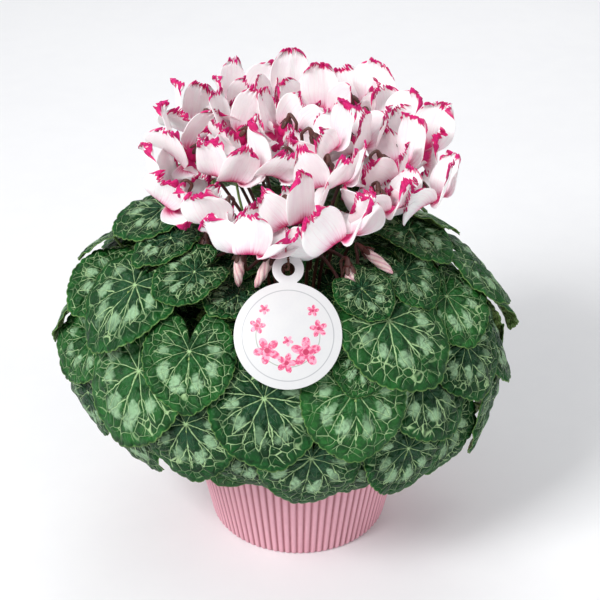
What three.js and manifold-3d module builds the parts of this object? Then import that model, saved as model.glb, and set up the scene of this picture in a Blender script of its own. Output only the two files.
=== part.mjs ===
// A cyclamen in a fluted round pot, in millimetres, standing on Z = 0 with its front towards -Y.
// A dome of heart-shaped leaves hides the rim of the pot. Flower stalks rise through its open top, each
// bends over into a nodding bloom with five swept-back petals, and a round card tag hangs in front.

import * as THREE from "three";
import { mergeVertices } from "three/addons/utils/BufferGeometryUtils.js";
import Module from "manifold-3d";

const wasm = await Module();
wasm.setup();

// Sizes of the pot and what it holds

const POT_HEIGHT = 112;
const FOOT_RADIUS = 75;
const WALL_TAPER = 0.2;
const WALL_THICKNESS = 4.5;
const FLOOR_THICKNESS = 5;
const RIBS = 88;
const RIB_DEPTH = 1.4;
const FIT_GAP = 0.3;
const SOIL_TOP = 100;
const TUBER_RADIUS = 30;
const TUBER_SUNK = 14;
const TUBER_RISE = 10;

// Sizes of the foliage

const DOME_X = -8;
const DOME_DEPTH = 0.84;
const DOME_HEIGHTS = [86, 110, 140, 170, 200, 227, 250, 268, 281, 288];
const DOME_RADII = [143, 160, 172, 176, 170, 155, 135, 111, 85, 58];
const FRONT_DIP = 60;
const BLADE_THICKNESS = 0.9;
const BLADE_GAP = 1.2;
const LEAF_CLUSTERS = 26;
const STEM_RING = 46;
const STEM_RADIUS = 1.3;
const PETIOLE_STEPS = 3;
const STEM_SPACING = 2.8;
const STUB_RADIUS = 4.4;
const STUB_RISE = 4;
const STEM_HOLE_RADIUS = 5;
const STEM_HOLE_DEPTH = 12;

// Sizes of the flowers

const BLOOMS = 24;
const FIRST_BLOOM = 60;
const CANOPY_RADIUS = 106;
const CANOPY_EDGE = 132;
const CANOPY_TOP = 348;
const CANOPY_DROP = 22;
const CANOPY_LEAN = 0.12;
const PETAL_LENGTH = 43;
const PETAL_HALF_WIDTH = 15;
const PETAL_THICKNESS = 0.8;
const PETAL_TURNS = [0, 64, 127, -127, -64];
const PETAL_FOOT = 26;
const CELL_MARGIN = 1.1;
const MOUTH_RADIUS = 5.5;
const TUBE_LENGTH = 11;
const STALK_RADIUS = 1.35;
const CALYX_RADIUS = 3.4;
const BUD_LENGTH = 26;
const BUD_BEND = 8;
const TIED_BUD = 2;

// Sizes of the tag

const TAG_RADIUS = 39;
const TAG_THICKNESS = 1;
const TAG_CENTRE = new THREE.Vector3(-7.5, -131.5, 252.5);
const TAG_TILT = 40;
const RING_REACH = 48.5;
const RING_RADIUS = 11.5;
const RING_HOLE = 5;
const TIE_RADIUS = 0.8;

const UP = new THREE.Vector3(0, 0, 1);
const radians = THREE.MathUtils.degToRad;
const lerp = THREE.MathUtils.lerp;
const square = (value) => value * value;

// Seeded draws, so that each leaf and bloom always comes out the same

function draws(seed) {
  let state = Math.imul(seed + 1, 2654435761) >>> 0;
  const next = () => {
    state = (Math.imul(state, 1664525) + 1013904223) >>> 0;
    return state / 4294967296;
  };
  next();
  next();
  return { between: (low, high) => low + (high - low) * next() };
}

// Making solids

function solidFrom(vertices, triangles) {
  const mesh = new wasm.Mesh({
    numProp: 3,
    vertProperties: new Float32Array(vertices.flatMap((p) => p.toArray())),
    triVerts: new Uint32Array(triangles.flat()),
  });
  return new wasm.Manifold(mesh);
}

function solidOf(geometry) {
  const bare = new THREE.BufferGeometry().setAttribute("position", geometry.getAttribute("position"));
  if (geometry.index) bare.setIndex(geometry.index);
  const merged = mergeVertices(bare, 1e-4);
  const mesh = new wasm.Mesh({
    numProp: 3,
    vertProperties: merged.getAttribute("position").array,
    triVerts: new Uint32Array(merged.index.array),
  });
  return new wasm.Manifold(mesh);
}

function fused(solids) {
  return wasm.Manifold.union(solids);
}

// A thin sheet: its middle surface thickened alike to both sides and walled along its open edges.
function sheet(points, triangles, thickness) {
  const normals = points.map(() => new THREE.Vector3());
  const edges = new Set();
  for (const [a, b, c] of triangles) {
    const side = points[b].clone().sub(points[a]);
    const normal = side.cross(points[c].clone().sub(points[a]));
    for (const corner of [a, b, c]) normals[corner].add(normal);
    for (const edge of [[a, b], [b, c], [c, a]]) edges.add(edge.join());
  }
  const shifted = (offset) => points.map((p, i) => p.clone().addScaledVector(normals[i].clone().normalize(), offset));
  const under = points.length;
  const faces = triangles.flatMap(([a, b, c]) => [[a, b, c], [c + under, b + under, a + under]]);
  for (const edge of edges) {
    const [a, b] = edge.split(",").map(Number);
    if (edges.has([b, a].join())) continue;
    faces.push([b, a, a + under], [b, a + under, b + under]);
  }
  return solidFrom([...shifted(thickness / 2), ...shifted(-thickness / 2)], faces);
}

// A closed rod through the points, with a radius at each.
function rod(points, radii, sides) {
  const count = points.length;
  let across = new THREE.Vector3(1, 0, 0);
  const vertices = points.flatMap((point, i) => {
    const along = points[Math.min(i + 1, count - 1)].clone().sub(points[Math.max(i - 1, 0)]).normalize();
    across = across.addScaledVector(along, -across.dot(along)).normalize();
    const aside = along.clone().cross(across);
    return Array.from({ length: sides }, (_, k) => {
      const angle = (2 * Math.PI * k) / sides;
      const spoke = across.clone().multiplyScalar(Math.cos(angle)).addScaledVector(aside, Math.sin(angle));
      return point.clone().addScaledVector(spoke, radii[i]);
    });
  });
  const faces = [];
  for (let i = 0; i + 1 < count; i++) {
    for (let k = 0; k < sides; k++) {
      const a = i * sides + k;
      const b = i * sides + ((k + 1) % sides);
      faces.push([a, b, b + sides], [a, b + sides, a + sides]);
    }
  }
  const last = (count - 1) * sides;
  for (let k = 1; k + 1 < sides; k++) {
    faces.push([0, k + 1, k], [last, last + k, last + k + 1]);
  }
  return solidFrom(vertices, faces);
}

// Points on a smooth line through the given ones, with the same number of steps between each two.
function through(knots, steps) {
  const line = [];
  for (let i = 0; i + 1 < knots.length; i++) {
    const before = knots[Math.max(i - 1, 0)];
    const after = knots[Math.min(i + 2, knots.length - 1)];
    for (let step = 0; step < steps; step++) {
      const t = step / steps;
      const weights = [
        (-t + 2 * t * t - t * t * t) / 2,
        (2 - 5 * t * t + 3 * t * t * t) / 2,
        (t + 4 * t * t - 3 * t * t * t) / 2,
        (t * t * t - t * t) / 2,
      ];
      const point = new THREE.Vector3();
      [before, knots[i], knots[i + 1], after].forEach((knot, k) => point.addScaledVector(knot, weights[k]));
      line.push(point);
    }
  }
  line.push(knots.at(-1).clone());
  return line;
}

function bezier(a, b, c, d, steps) {
  return new THREE.CubicBezierCurve3(a, b, c, d).getPoints(steps);
}

// The pot, the soil and the holes in it

function ribbedRing(radius, depth, z) {
  return Array.from({ length: 2 * RIBS }, (_, i) => {
    const angle = (Math.PI * (i + 0.5)) / RIBS - Math.PI / 2;
    const reach = radius + (i % 2 ? -depth / 2 : depth / 2);
    return new THREE.Vector3(reach * Math.cos(angle), reach * Math.sin(angle), z);
  });
}

function wallRadius(z) {
  return FOOT_RADIUS + WALL_TAPER * z;
}

function pot() {
  const rings = [
    ribbedRing(wallRadius(0), RIB_DEPTH, 0),
    ribbedRing(wallRadius(POT_HEIGHT), RIB_DEPTH, POT_HEIGHT),
  ];
  const around = 2 * RIBS;
  const vertices = [...rings.flat(), new THREE.Vector3(0, 0, 0), new THREE.Vector3(0, 0, POT_HEIGHT)];
  const faces = [];
  for (let i = 0; i < around; i++) {
    const j = (i + 1) % around;
    faces.push([i, j, j + around], [i, j + around, i + around]);
    faces.push([2 * around, j, i], [2 * around + 1, i + around, j + around]);
  }
  return solidFrom(vertices, faces).subtract(hollow(0, POT_HEIGHT + 1, FLOOR_THICKNESS));
}

// The space inside the pot, drawn in by a gap.
function hollow(gap, top, bottom) {
  const inner = (z) => wallRadius(z) - WALL_THICKNESS - gap;
  const shape = new THREE.CylinderGeometry(inner(top), inner(bottom), top - bottom, 40);
  return solidOf(shape.rotateX(Math.PI / 2).translate(0, 0, (top + bottom) / 2));
}

function standingCylinder(radius, bottom, top, sides, x = 0, y = 0) {
  const shape = new THREE.CylinderGeometry(radius, radius, top - bottom, sides);
  return solidOf(shape.rotateX(Math.PI / 2).translate(x, y, (top + bottom) / 2));
}

function soil(stemBases) {
  const holes = stemBases.map(({ x, y }) =>
    standingCylinder(STEM_HOLE_RADIUS, SOIL_TOP - STEM_HOLE_DEPTH, SOIL_TOP + 1, 6, x, y),
  );
  const dish = standingCylinder(TUBER_RADIUS + FIT_GAP, SOIL_TOP - TUBER_SUNK, SOIL_TOP + 1, 24);
  const filling = hollow(FIT_GAP, SOIL_TOP, FLOOR_THICKNESS + FIT_GAP);
  return filling.subtract(fused([dish, ...holes]));
}

// The dome that the leaves lie on: azimuth from the front towards the right, rise from 0 at the skirt to 1

function alongProfile(values, rise) {
  const place = THREE.MathUtils.clamp(rise, 0, 1) * (values.length - 1);
  const low = Math.min(Math.floor(place), values.length - 2);
  return lerp(values[low], values[low + 1], place - low);
}

function domePoint(azimuth, rise) {
  const radius = alongProfile(DOME_RADII, rise);
  const dip = FRONT_DIP * Math.max(0, Math.cos(azimuth)) * Math.max(0, rise - 0.45);
  return new THREE.Vector3(
    DOME_X + radius * Math.sin(azimuth),
    -DOME_DEPTH * radius * Math.cos(azimuth),
    alongProfile(DOME_HEIGHTS, rise) - dip,
  );
}

// Leaves: azimuth and rise of the middle of each blade, its length, and how far its tip turns aside
const LEAVES = [
  [-8, 0.26, 68, 12], [16, 0.23, 66, 6], [42, 0.25, 68, -20], [-45, 0.22, 70, 6], [88, 0.2, 74, 8],
  [148, 0.2, 84, 6], [-150, 0.2, 84, 12], [-92, 0.22, 76, 4],
  [5, 0.25, 78, -8], [29, 0.24, 68, -14], [-24, 0.33, 76, 10], [-66, 0.25, 66, -8], [64, 0.22, 72, -6],
  [118, 0.22, 80, -10], [178, 0.22, 82, -4], [-120, 0.22, 80, -8],
  [-68, 0.43, 66, -16], [-5, 0.42, 84, 8], [38, 0.42, 80, 16], [73, 0.42, 74, 10], [133, 0.42, 82, 8],
  [-160, 0.42, 84, 6], [-108, 0.42, 78, 14],
  [-41, 0.42, 94, -10], [16, 0.43, 80, -6], [53, 0.46, 66, -12], [102, 0.44, 80, -6], [166, 0.44, 84, -12],
  [-134, 0.44, 80, -6], [-86, 0.45, 68, -14],
  [-74, 0.6, 66, 18], [-26, 0.53, 70, 20], [19, 0.55, 46, -30], [57, 0.61, 66, -18], [112, 0.62, 76, -10],
  [177, 0.62, 78, -6], [-118, 0.63, 74, 8],
  [-54, 0.63, 88, -8], [31, 0.6, 88, 12], [80, 0.6, 70, 8], [145, 0.6, 78, 12], [-150, 0.6, 80, -12],
  [-96, 0.64, 64, -10], [-21, 0.74, 46, -20],
  [-116, 0.83, 76, -6], [-38, 0.76, 54, -26], [47, 0.75, 52, -6], [66, 0.81, 60, -10], [92, 0.83, 72, -10],
  [157, 0.76, 74, -8], [-153, 0.79, 72, 10], [-59, 0.81, 54, 8],
  [-85, 0.82, 66, 8], [27, 0.74, 44, 20], [127, 0.82, 74, 10],
].map(([azimuth, rise, length, turn]) => ({ azimuth: radians(azimuth), rise, length, turn: radians(turn) }));

// How far the edge of a blade lies from the point where its stem joins, for an angle from the tip.
function bladeReach(angle) {
  const fromNotch = Math.PI - Math.abs(angle);
  const lobes = 0.53 + 0.06 * Math.cos(angle) + 0.03 * Math.cos(2 * angle);
  const tip = 0.05 * Math.exp(-square(angle / 0.25));
  return lobes + tip - 0.4 * Math.exp(-square(fromNotch / 0.28));
}

// A leaf's own frame on the dome, and the bends that its blade has.
function leafFrame(leaf, index) {
  const draw = draws(index);
  const middle = domePoint(leaf.azimuth, leaf.rise);
  const up = domePoint(leaf.azimuth, leaf.rise + 0.02).sub(domePoint(leaf.azimuth, leaf.rise - 0.02)).normalize();
  const right = domePoint(leaf.azimuth + 0.02, leaf.rise).sub(domePoint(leaf.azimuth - 0.02, leaf.rise)).normalize();
  const out = right.clone().cross(up).normalize();
  const tip = up.clone().negate().applyAxisAngle(out, leaf.turn + radians(draw.between(-6, 6)));
  return {
    ...leaf,
    side: out.clone().cross(tip),
    tip,
    out,
    middle,
    joint: middle,
    pitch: draw.between(2, 14),
    roll: draw.between(-10, 10),
    curl: draw.between(0.0042, 0.0068),
    fold: draw.between(-0.06, 0.14),
    waves: draw.between(0.012, 0.03) * leaf.length,
    phase: draw.between(0, 2 * Math.PI),
    tipCurl: draw.between(0.02, 0.16),
  };
}

// The leaf with its tip raised and one side lowered, in degrees, about the middle of its blade.
function tilted(leaf, pitch, roll) {
  const tilt = new THREE.Quaternion().setFromAxisAngle(leaf.side, radians(-pitch));
  tilt.multiply(new THREE.Quaternion().setFromAxisAngle(leaf.tip, radians(roll)));
  const [side, tip, out] = [leaf.side, leaf.tip, leaf.out].map((v) => v.clone().applyQuaternion(tilt));
  const joint = leaf.middle.clone().addScaledVector(tip, -0.14 * leaf.length);
  return { ...leaf, side, tip, out, joint };
}

// A point of the blade: the angle from its tip and the share of the way out to the edge.
function bladePoint(leaf, angle, share) {
  const edge = leaf.length * bladeReach(angle);
  const reach = edge * share;
  const u = reach * Math.sin(angle);
  const v = reach * Math.cos(angle);
  const droop = -0.5 * leaf.curl * (u * u + v * v) - leaf.tipCurl * Math.max(0, v - 0.3 * leaf.length);
  const ruffle = leaf.waves * share * share * Math.sin(3 * angle + leaf.phase);
  const height = droop + ruffle + leaf.fold * Math.abs(u);
  return leaf.joint
    .clone()
    .addScaledVector(leaf.side, u)
    .addScaledVector(leaf.tip, v)
    .addScaledVector(leaf.out, height);
}

const PITCHES = [-6, 0, 6, 12, 18, 24, 30];
const ROLLS = [-24, -16, -8, 0, 8, 16, 24];

// How far out the blades laid so far reach, seen from a point inside the dome, by direction.
class LaidBlades {
  constructor() {
    this.step = 1.5;
    this.reach = new Map();
  }

  look(point) {
    const x = point.x - DOME_X;
    const y = point.y / DOME_DEPTH;
    const z = point.z - 120;
    const flat = Math.hypot(x, y);
    const column = Math.floor(THREE.MathUtils.radToDeg(Math.atan2(x, -y)) / this.step);
    const row = Math.floor(THREE.MathUtils.radToDeg(Math.atan2(z, flat)) / this.step);
    return { column, row, distance: Math.hypot(flat, z) };
  }

  key(column, row) {
    const columns = 360 / this.step;
    return (((column % columns) + columns) % columns) * 1000 + row;
  }

  shortfall(points) {
    return Math.max(
      ...points.map((point) => {
        const { column, row, distance } = this.look(point);
        return (this.reach.get(this.key(column, row)) ?? 0) - distance;
      }),
    );
  }

  add(points) {
    for (const point of points) {
      const { column, row, distance } = this.look(point);
      const key = this.key(column, row);
      this.reach.set(key, Math.max(this.reach.get(key) ?? 0, distance));
    }
  }
}

function bladeSamples(leaf, rings) {
  const samples = [];
  const steps = 5 * rings;
  for (let ring = 1; ring <= rings; ring++) {
    for (let step = 0; step < steps; step++) {
      samples.push(bladePoint(leaf, (2 * step / steps - 1) * Math.PI, ring / rings));
    }
  }
  return samples;
}

// Each blade turns to where it needs the least lift, then moves out until it lies on the ones below it.
function settled(leaves) {
  const laid = new LaidBlades();
  const clearance = BLADE_THICKNESS + BLADE_GAP;
  return leaves.map((leaf, index) => {
    const start = leafFrame(leaf, index);
    let placed = start;
    let least = Infinity;
    for (const pitch of PITCHES) {
      for (const roll of ROLLS) {
        const trial = tilted(start, pitch, roll);
        const lift = Math.max(0, laid.shortfall(bladeSamples(trial, 8)) + clearance);
        const cost = lift + 0.12 * Math.hypot(pitch - start.pitch, roll - start.roll);
        if (cost < least) [least, placed] = [cost, trial];
      }
    }
    for (let round = 0; round < 40; round++) {
      const short = laid.shortfall(bladeSamples(placed, 14)) + clearance;
      if (short <= 0.01) break;
      placed.joint.addScaledVector(placed.out, Math.max(0.2, 0.8 * short));
    }
    laid.add(bladeSamples(placed, 20));
    return placed;
  });
}

const BLADE_ANGLES = [180, 152, 120, 86, 54, 24, 0].map(radians);

function blade(leaf) {
  const outline = [...BLADE_ANGLES, ...BLADE_ANGLES.slice(1, -1).reverse().map((angle) => -angle)];
  const count = outline.length;
  const points = [bladePoint(leaf, 0, 0)];
  const inner = outline.filter((_, i) => i % 2 === 1);
  points.push(...inner.map((angle) => bladePoint(leaf, angle, 0.5)));
  points.push(...outline.map((angle) => bladePoint(leaf, angle, 1)));
  const triangles = [];
  const first = 1 + inner.length;
  for (let i = 0; i < inner.length; i++) {
    const next = (i + 1) % inner.length;
    const a = first + ((2 * i + 1) % count);
    const b = first + ((2 * i + 2) % count);
    const c = first + ((2 * i + 3) % count);
    triangles.push([0, 1 + i, 1 + next], [1 + i, a, b], [1 + i, b, 1 + next], [1 + next, b, c]);
  }
  return sheet(points, triangles, BLADE_THICKNESS);
}

// The stem joins its blade a little below the notch.
function petiole(leaf, foot) {
  const end = bladePoint(leaf, 0, 0.13);
  const rise = foot.clone().addScaledVector(UP, 66);
  const approach = end.clone().addScaledVector(leaf.out, -34);
  const line = bezier(foot, rise, approach, end, PETIOLE_STEPS);
  return rod(line, line.map((_, i) => lerp(STEM_RADIUS, 1.1, i / PETIOLE_STEPS)), 3);
}

// A few leaves rise side by side from one stub, which stands in a hole in the soil.
function leafCluster({ members, base, aside }) {
  const sunk = SOIL_TOP - STEM_HOLE_DEPTH + FIT_GAP;
  const stub = standingCylinder(STUB_RADIUS, sunk, SOIL_TOP + STUB_RISE, 6, base.x, base.y);
  const parts = members.flatMap((leaf, i) => {
    const shift = (i - (members.length - 1) / 2) * STEM_SPACING;
    const foot = base.clone().addScaledVector(aside, shift).addScaledVector(UP, 1);
    return [blade(leaf), petiole(leaf, foot)];
  });
  return fused([stub, ...parts]);
}

function leafClusters(leaves) {
  const sorted = [...leaves].sort((a, b) => a.azimuth - b.azimuth);
  const clusters = Array.from({ length: LEAF_CLUSTERS }, () => []);
  sorted.forEach((leaf, i) => clusters[Math.floor((i * LEAF_CLUSTERS) / sorted.length)].push(leaf));
  return clusters.map((members, i) => {
    const even = ((i + 0.5) / LEAF_CLUSTERS) * 2 * Math.PI - Math.PI;
    const mean = members.reduce((sum, leaf) => sum + leaf.azimuth, 0) / members.length;
    const azimuth = lerp(even, mean, 0.15);
    const base = new THREE.Vector3(STEM_RING * Math.sin(azimuth), -STEM_RING * Math.cos(azimuth), SOIL_TOP);
    return { members, base, aside: new THREE.Vector3(Math.cos(azimuth), Math.sin(azimuth), 0) };
  });
}

// Blooms: their places in the head, and the frame of each

function bloomSites() {
  return Array.from({ length: BLOOMS }, (_, i) => {
    const draw = draws(500 + i);
    const radius = CANOPY_RADIUS * Math.sqrt((i + 0.5) / BLOOMS) + draw.between(-3, 3);
    const azimuth = radians(137.5 * i + FIRST_BLOOM);
    const x = radius * Math.sin(azimuth);
    const y = -radius * Math.cos(azimuth);
    const drop = CANOPY_DROP * square(radius / CANOPY_RADIUS);
    const centre = new THREE.Vector3(x, y, CANOPY_TOP - drop + CANOPY_LEAN * y + draw.between(-5, 5));
    const facing = azimuth + radians(draw.between(-38, 38));
    const outward = new THREE.Vector3(Math.sin(facing), -Math.cos(facing), 0);
    const nod = radians(draw.between(50, 74));
    const mouth = outward.clone().multiplyScalar(Math.cos(nod)).addScaledVector(UP, -Math.sin(nod));
    return {
      centre,
      outward,
      mouth,
      origin: centre.clone().addScaledVector(outward, 5).addScaledVector(UP, -8),
      spin: radians(draw.between(-7, 7)),
      twist: radians(draw.between(27, 35)),
      sweep: draw.between(130, 144),
      seed: 700 + 10 * i,
    };
  });
}

// How far a bloom may spread from its centre in one direction, seen from above.
function cellReach(site, direction, sites) {
  let reach = Infinity;
  for (const other of sites) {
    if (other === site) continue;
    const apart = new THREE.Vector3().subVectors(other.centre, site.centre).setZ(0);
    const towards = direction.dot(apart) / apart.length();
    if (towards > 1e-6) reach = Math.min(reach, (apart.length() / 2 - CELL_MARGIN) / towards);
  }
  const flat = site.centre.clone().setZ(0);
  const along = flat.dot(direction);
  const edge = CANOPY_EDGE - CELL_MARGIN;
  return Math.min(reach, -along + Math.sqrt(along * along + edge * edge - flat.lengthSq()));
}

// Petals that would reach past the cell bend up along its side instead.
function keptInCell(point, site, sites) {
  const offset = point.clone().sub(site.centre).setZ(0);
  const reach = offset.length();
  if (reach < 1e-6) return point;
  const direction = offset.clone().divideScalar(reach);
  const limit = cellReach(site, direction, sites);
  const share = reach / limit;
  if (share <= 0.7) return point;
  const kept = limit * (0.7 + 0.3 * Math.tanh((share - 0.7) / 0.3));
  return point.clone().addScaledVector(direction, kept - reach);
}

// A point of a petal: the share of the way along it, and -1 to 1 across it.
function petalPoint(site, petal, along, across) {
  const draw = draws(site.seed + petal);
  const length = PETAL_LENGTH * draw.between(0.9, 1.08);
  const sweep = radians(site.sweep + draw.between(-5, 5));
  const cup = draw.between(-0.014, 0.01);
  const ruffle = draw.between(0.8, 1.6);
  const phase = draw.between(0, 2 * Math.PI);
  const turn = radians(PETAL_TURNS[petal]) + site.spin;
  const forward = site.mouth;
  const side = site.outward.clone().cross(UP).negate();
  const top = forward.clone().cross(side);
  const radial = top.multiplyScalar(Math.cos(turn)).addScaledVector(side, Math.sin(turn));
  const tangent = forward.clone().cross(radial);
  let ahead = 0;
  let outward = MOUTH_RADIUS;
  let angle = 0;
  const pieces = 12;
  for (let piece = 0; piece < pieces; piece++) {
    const part = Math.min(1, Math.max(0, along * pieces - piece));
    const turned = Math.min(1, (piece + 0.5) / pieces / 0.32);
    angle = lerp(radians(50), sweep, turned * turned * (3 - 2 * turned));
    ahead += (length / pieces) * part * Math.cos(angle);
    outward += (length / pieces) * part * Math.sin(angle);
  }
  const grown = Math.sin((Math.PI / 2) * Math.min(1, along / 0.6));
  const rounded = along > 0.6 ? Math.sqrt(1 - square((along - 0.6) / 0.45)) : 1;
  const half = PETAL_HALF_WIDTH * (0.17 + 0.83 * grown) * rounded;
  const w = across * half;
  const face = radial.clone().multiplyScalar(-Math.cos(angle)).addScaledVector(forward, Math.sin(angle));
  const spun = site.twist * Math.min(1, 2.4 * along);
  const lift = cup * w * w + ruffle * along * along * Math.sin(4.2 * across + phase);
  return site.origin
    .clone()
    .addScaledVector(forward, ahead)
    .addScaledVector(radial, outward)
    .addScaledVector(tangent, w * Math.cos(spun))
    .addScaledVector(face, w * Math.sin(spun) + lift);
}

const PETAL_ROWS = [0.36, 0.72, 1];

function onRing(site, turn, radius, ahead) {
  const side = site.outward.clone().cross(UP).negate();
  const top = site.mouth.clone().cross(side);
  return site.origin
    .clone()
    .addScaledVector(site.mouth, ahead)
    .addScaledVector(top, radius * Math.cos(turn))
    .addScaledVector(side, radius * Math.sin(turn));
}

// One sheet makes the whole bloom: a short tube whose mouth edge runs on into five petals, with a notch
// between each two.
function bloom(site, sites) {
  const points = [onRing(site, 0, 0, -TUBE_LENGTH)];
  const triangles = [];
  const turns = PETAL_TURNS.map((turn) => radians((turn + 360) % 360) + site.spin);
  const corners = turns.map((turn, i) => (turn + turns.at(i - 1) - (i ? 0 : 2 * Math.PI)) / 2);
  const count = turns.length;
  for (const corner of corners) points.push(onRing(site, corner, CALYX_RADIUS, -TUBE_LENGTH));
  for (const turn of turns) {
    points.push(onRing(site, turn - radians(PETAL_FOOT), MOUTH_RADIUS, 0));
    points.push(onRing(site, turn + radians(PETAL_FOOT), MOUTH_RADIUS, 0));
  }
  turns.forEach((_, i) => {
    const next = (i + 1) % count;
    const [back, backNext] = [1 + i, 1 + next];
    const [left, right, leftNext] = [1 + count + 2 * i, 2 + count + 2 * i, 1 + count + 2 * next];
    triangles.push([0, back, backNext], [back, left, right], [back, right, backNext], [backNext, right, leftNext]);
    const rows = PETAL_ROWS.map((along) =>
      [1, 0, -1].map((across) => points.push(keptInCell(petalPoint(site, i, along, across), site, sites)) - 1),
    );
    const [a, b, c] = rows[0];
    triangles.push([left, a, b], [left, b, right], [right, b, c]);
    for (let r = 0; r + 1 < rows.length; r++) {
      for (const k of [0, 1]) {
        triangles.push([rows[r][k], rows[r + 1][k], rows[r + 1][k + 1]]);
        triangles.push([rows[r][k], rows[r + 1][k + 1], rows[r][k + 1]]);
      }
    }
  });
  return sheet(points, triangles, PETAL_THICKNESS);
}

// Stalks rise from the tuber, bend over at the top and end in a calyx.

function stalk(end, facing, pointing, reach) {
  const calyx = end.clone().addScaledVector(pointing, -3.2);
  const leg = end.clone().addScaledVector(facing, -reach);
  const spread = Math.hypot(leg.x, leg.y);
  const out = new THREE.Vector3(leg.x, leg.y, 0).divideScalar(spread);
  const root = out.clone().multiplyScalar(3 + 0.21 * spread).setZ(SOIL_TOP + 1);
  const knots = [
    root,
    out.clone().multiplyScalar(4 + 0.28 * spread).setZ(205),
    out.clone().multiplyScalar(4 + 0.46 * spread).setZ(268),
    leg.clone().addScaledVector(UP, -16),
    leg.clone().addScaledVector(UP, 2),
  ];
  const bend = calyx.clone().addScaledVector(pointing, -4.5);
  const line = [...through(knots, 2), bend, calyx, end];
  const radii = line.map((_, i) => (i === line.length - 1 ? CALYX_RADIUS : i === line.length - 2 ? 2.4 : STALK_RADIUS));
  return rod(line, radii, 3);
}

function bloomStalk(site) {
  const end = site.origin.clone().addScaledVector(site.mouth, -TUBE_LENGTH - PETAL_THICKNESS / 2 - FIT_GAP);
  return stalk(end, site.outward, site.mouth, 9);
}

// Buds: where the middle of each hangs, and where it points: azimuth from the front, and down from level
const BUDS = [
  [-72, -54, 275, -60, 80],
  [-44, -84, 279, -40, 86],
  [-26, -90, 281, -70, 62],
  [39, -92, 272, 40, 74],
  [60, -76, 282, 62, 30],
].map(([x, y, z, azimuth, down]) => {
  const flat = new THREE.Vector3(Math.sin(radians(azimuth)), -Math.cos(radians(azimuth)), 0);
  const pointing = flat.clone().multiplyScalar(Math.cos(radians(down))).addScaledVector(UP, -Math.sin(radians(down)));
  return { middle: new THREE.Vector3(x, y, z), flat, pointing };
});

function bud({ middle, pointing }) {
  const stations = [-0.5, -0.25, 0.05, 0.35, 0.5];
  const line = stations.map((station) => middle.clone().addScaledVector(pointing, station * BUD_LENGTH));
  return rod(line, [2.6, 3.6, 3.8, 2.6, 0.9], 5);
}

function budStalkEnd({ middle, pointing }) {
  return middle.clone().addScaledVector(pointing, -BUD_LENGTH / 2 - FIT_GAP);
}

function budStalk(place) {
  return stalk(budStalkEnd(place), place.flat, place.pointing, BUD_BEND);
}

// Where the upright part of a bud's stalk stands.
function legOf(place) {
  return budStalkEnd(place).addScaledVector(place.flat, -BUD_BEND);
}

// The tuber stands in a dish in the soil and shows as a low crown.
function tuber() {
  const bottom = SOIL_TOP - TUBER_SUNK + FIT_GAP;
  const profile = [new THREE.Vector2(0, bottom)];
  for (let step = 0; step <= 4; step++) {
    const angle = (step / 4) * (Math.PI / 2);
    profile.push(new THREE.Vector2(TUBER_RADIUS * Math.cos(angle), SOIL_TOP + TUBER_RISE * Math.sin(angle)));
  }
  profile.splice(1, 0, new THREE.Vector2(TUBER_RADIUS, bottom));
  profile.at(-1).x = 0;
  return solidOf(new THREE.LatheGeometry(profile, 16).rotateX(Math.PI / 2));
}

function tuberWithStalks(sites) {
  return fused([tuber(), ...sites.map(bloomStalk), ...BUDS.map(budStalk)]);
}

// The tag lies back against the leaves on a tie through the hole in its ring.

function tagPlane() {
  const tilt = radians(TAG_TILT);
  return {
    upward: new THREE.Vector3(0, Math.sin(tilt), Math.cos(tilt)),
    outward: new THREE.Vector3(0, -Math.cos(tilt), Math.sin(tilt)),
  };
}

function tag() {
  const half = TAG_THICKNESS / 2;
  const disc = standingCylinder(TAG_RADIUS, -half, half, 40);
  const neck = solidOf(new THREE.BoxGeometry(13, 12, TAG_THICKNESS).translate(0, RING_REACH - 10.5, 0));
  const ring = standingCylinder(RING_RADIUS, -half, half, 20, 0, RING_REACH);
  const hole = standingCylinder(RING_HOLE, -half - 1, half + 1, 14, 0, RING_REACH);
  return fused([disc, neck, ring]).subtract(hole);
}

// A ring of wire through the points.
function hoop(points, radius, sides) {
  const count = points.length;
  const centre = points.reduce((sum, point) => sum.add(point), new THREE.Vector3()).divideScalar(count);
  const vertices = points.flatMap((point, i) => {
    const along = points[(i + 1) % count].clone().sub(points.at(i - 1)).normalize();
    const across = point.clone().sub(centre);
    across.addScaledVector(along, -across.dot(along)).normalize();
    const aside = along.clone().cross(across);
    return Array.from({ length: sides }, (_, k) => {
      const angle = (2 * Math.PI * k) / sides;
      const spoke = across.clone().multiplyScalar(Math.cos(angle)).addScaledVector(aside, Math.sin(angle));
      return point.clone().addScaledVector(spoke, radius);
    });
  });
  const faces = [];
  for (let i = 0; i < count; i++) {
    for (let k = 0; k < sides; k++) {
      const [a, b] = [i * sides + k, i * sides + ((k + 1) % sides)];
      const [c, d] = [((i + 1) % count) * sides + k, ((i + 1) % count) * sides + ((k + 1) % sides)];
      faces.push([a, b, d], [a, d, c]);
    }
  }
  return solidFrom(vertices, faces);
}

// The tie loops through the hole in the tag's ring and round the stalk of the bud behind it.
function tagTie() {
  const { upward, outward } = tagPlane();
  const ring = TAG_CENTRE.clone().addScaledVector(upward, RING_REACH);
  const nearRing = (out, up) => ring.clone().addScaledVector(outward, out).addScaledVector(upward, up);
  const leg = legOf(BUDS[TIED_BUD]).setZ(ring.z + 1);
  const nearStalk = (x, y, z) => leg.clone().add(new THREE.Vector3(x, y, z));
  const knots = [
    nearRing(0, 0),
    nearStalk(-3.4, -1, -1.5),
    nearStalk(0, 3.4, 0),
    nearStalk(3.4, -0.5, 2.5),
    nearRing(-1, 13.4),
    nearRing(2.4, 9),
  ];
  const loop = new THREE.CatmullRomCurve3(knots, true).getPoints(22).slice(0, -1);
  return hoop(loop, TIE_RADIUS, 4);
}

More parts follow.
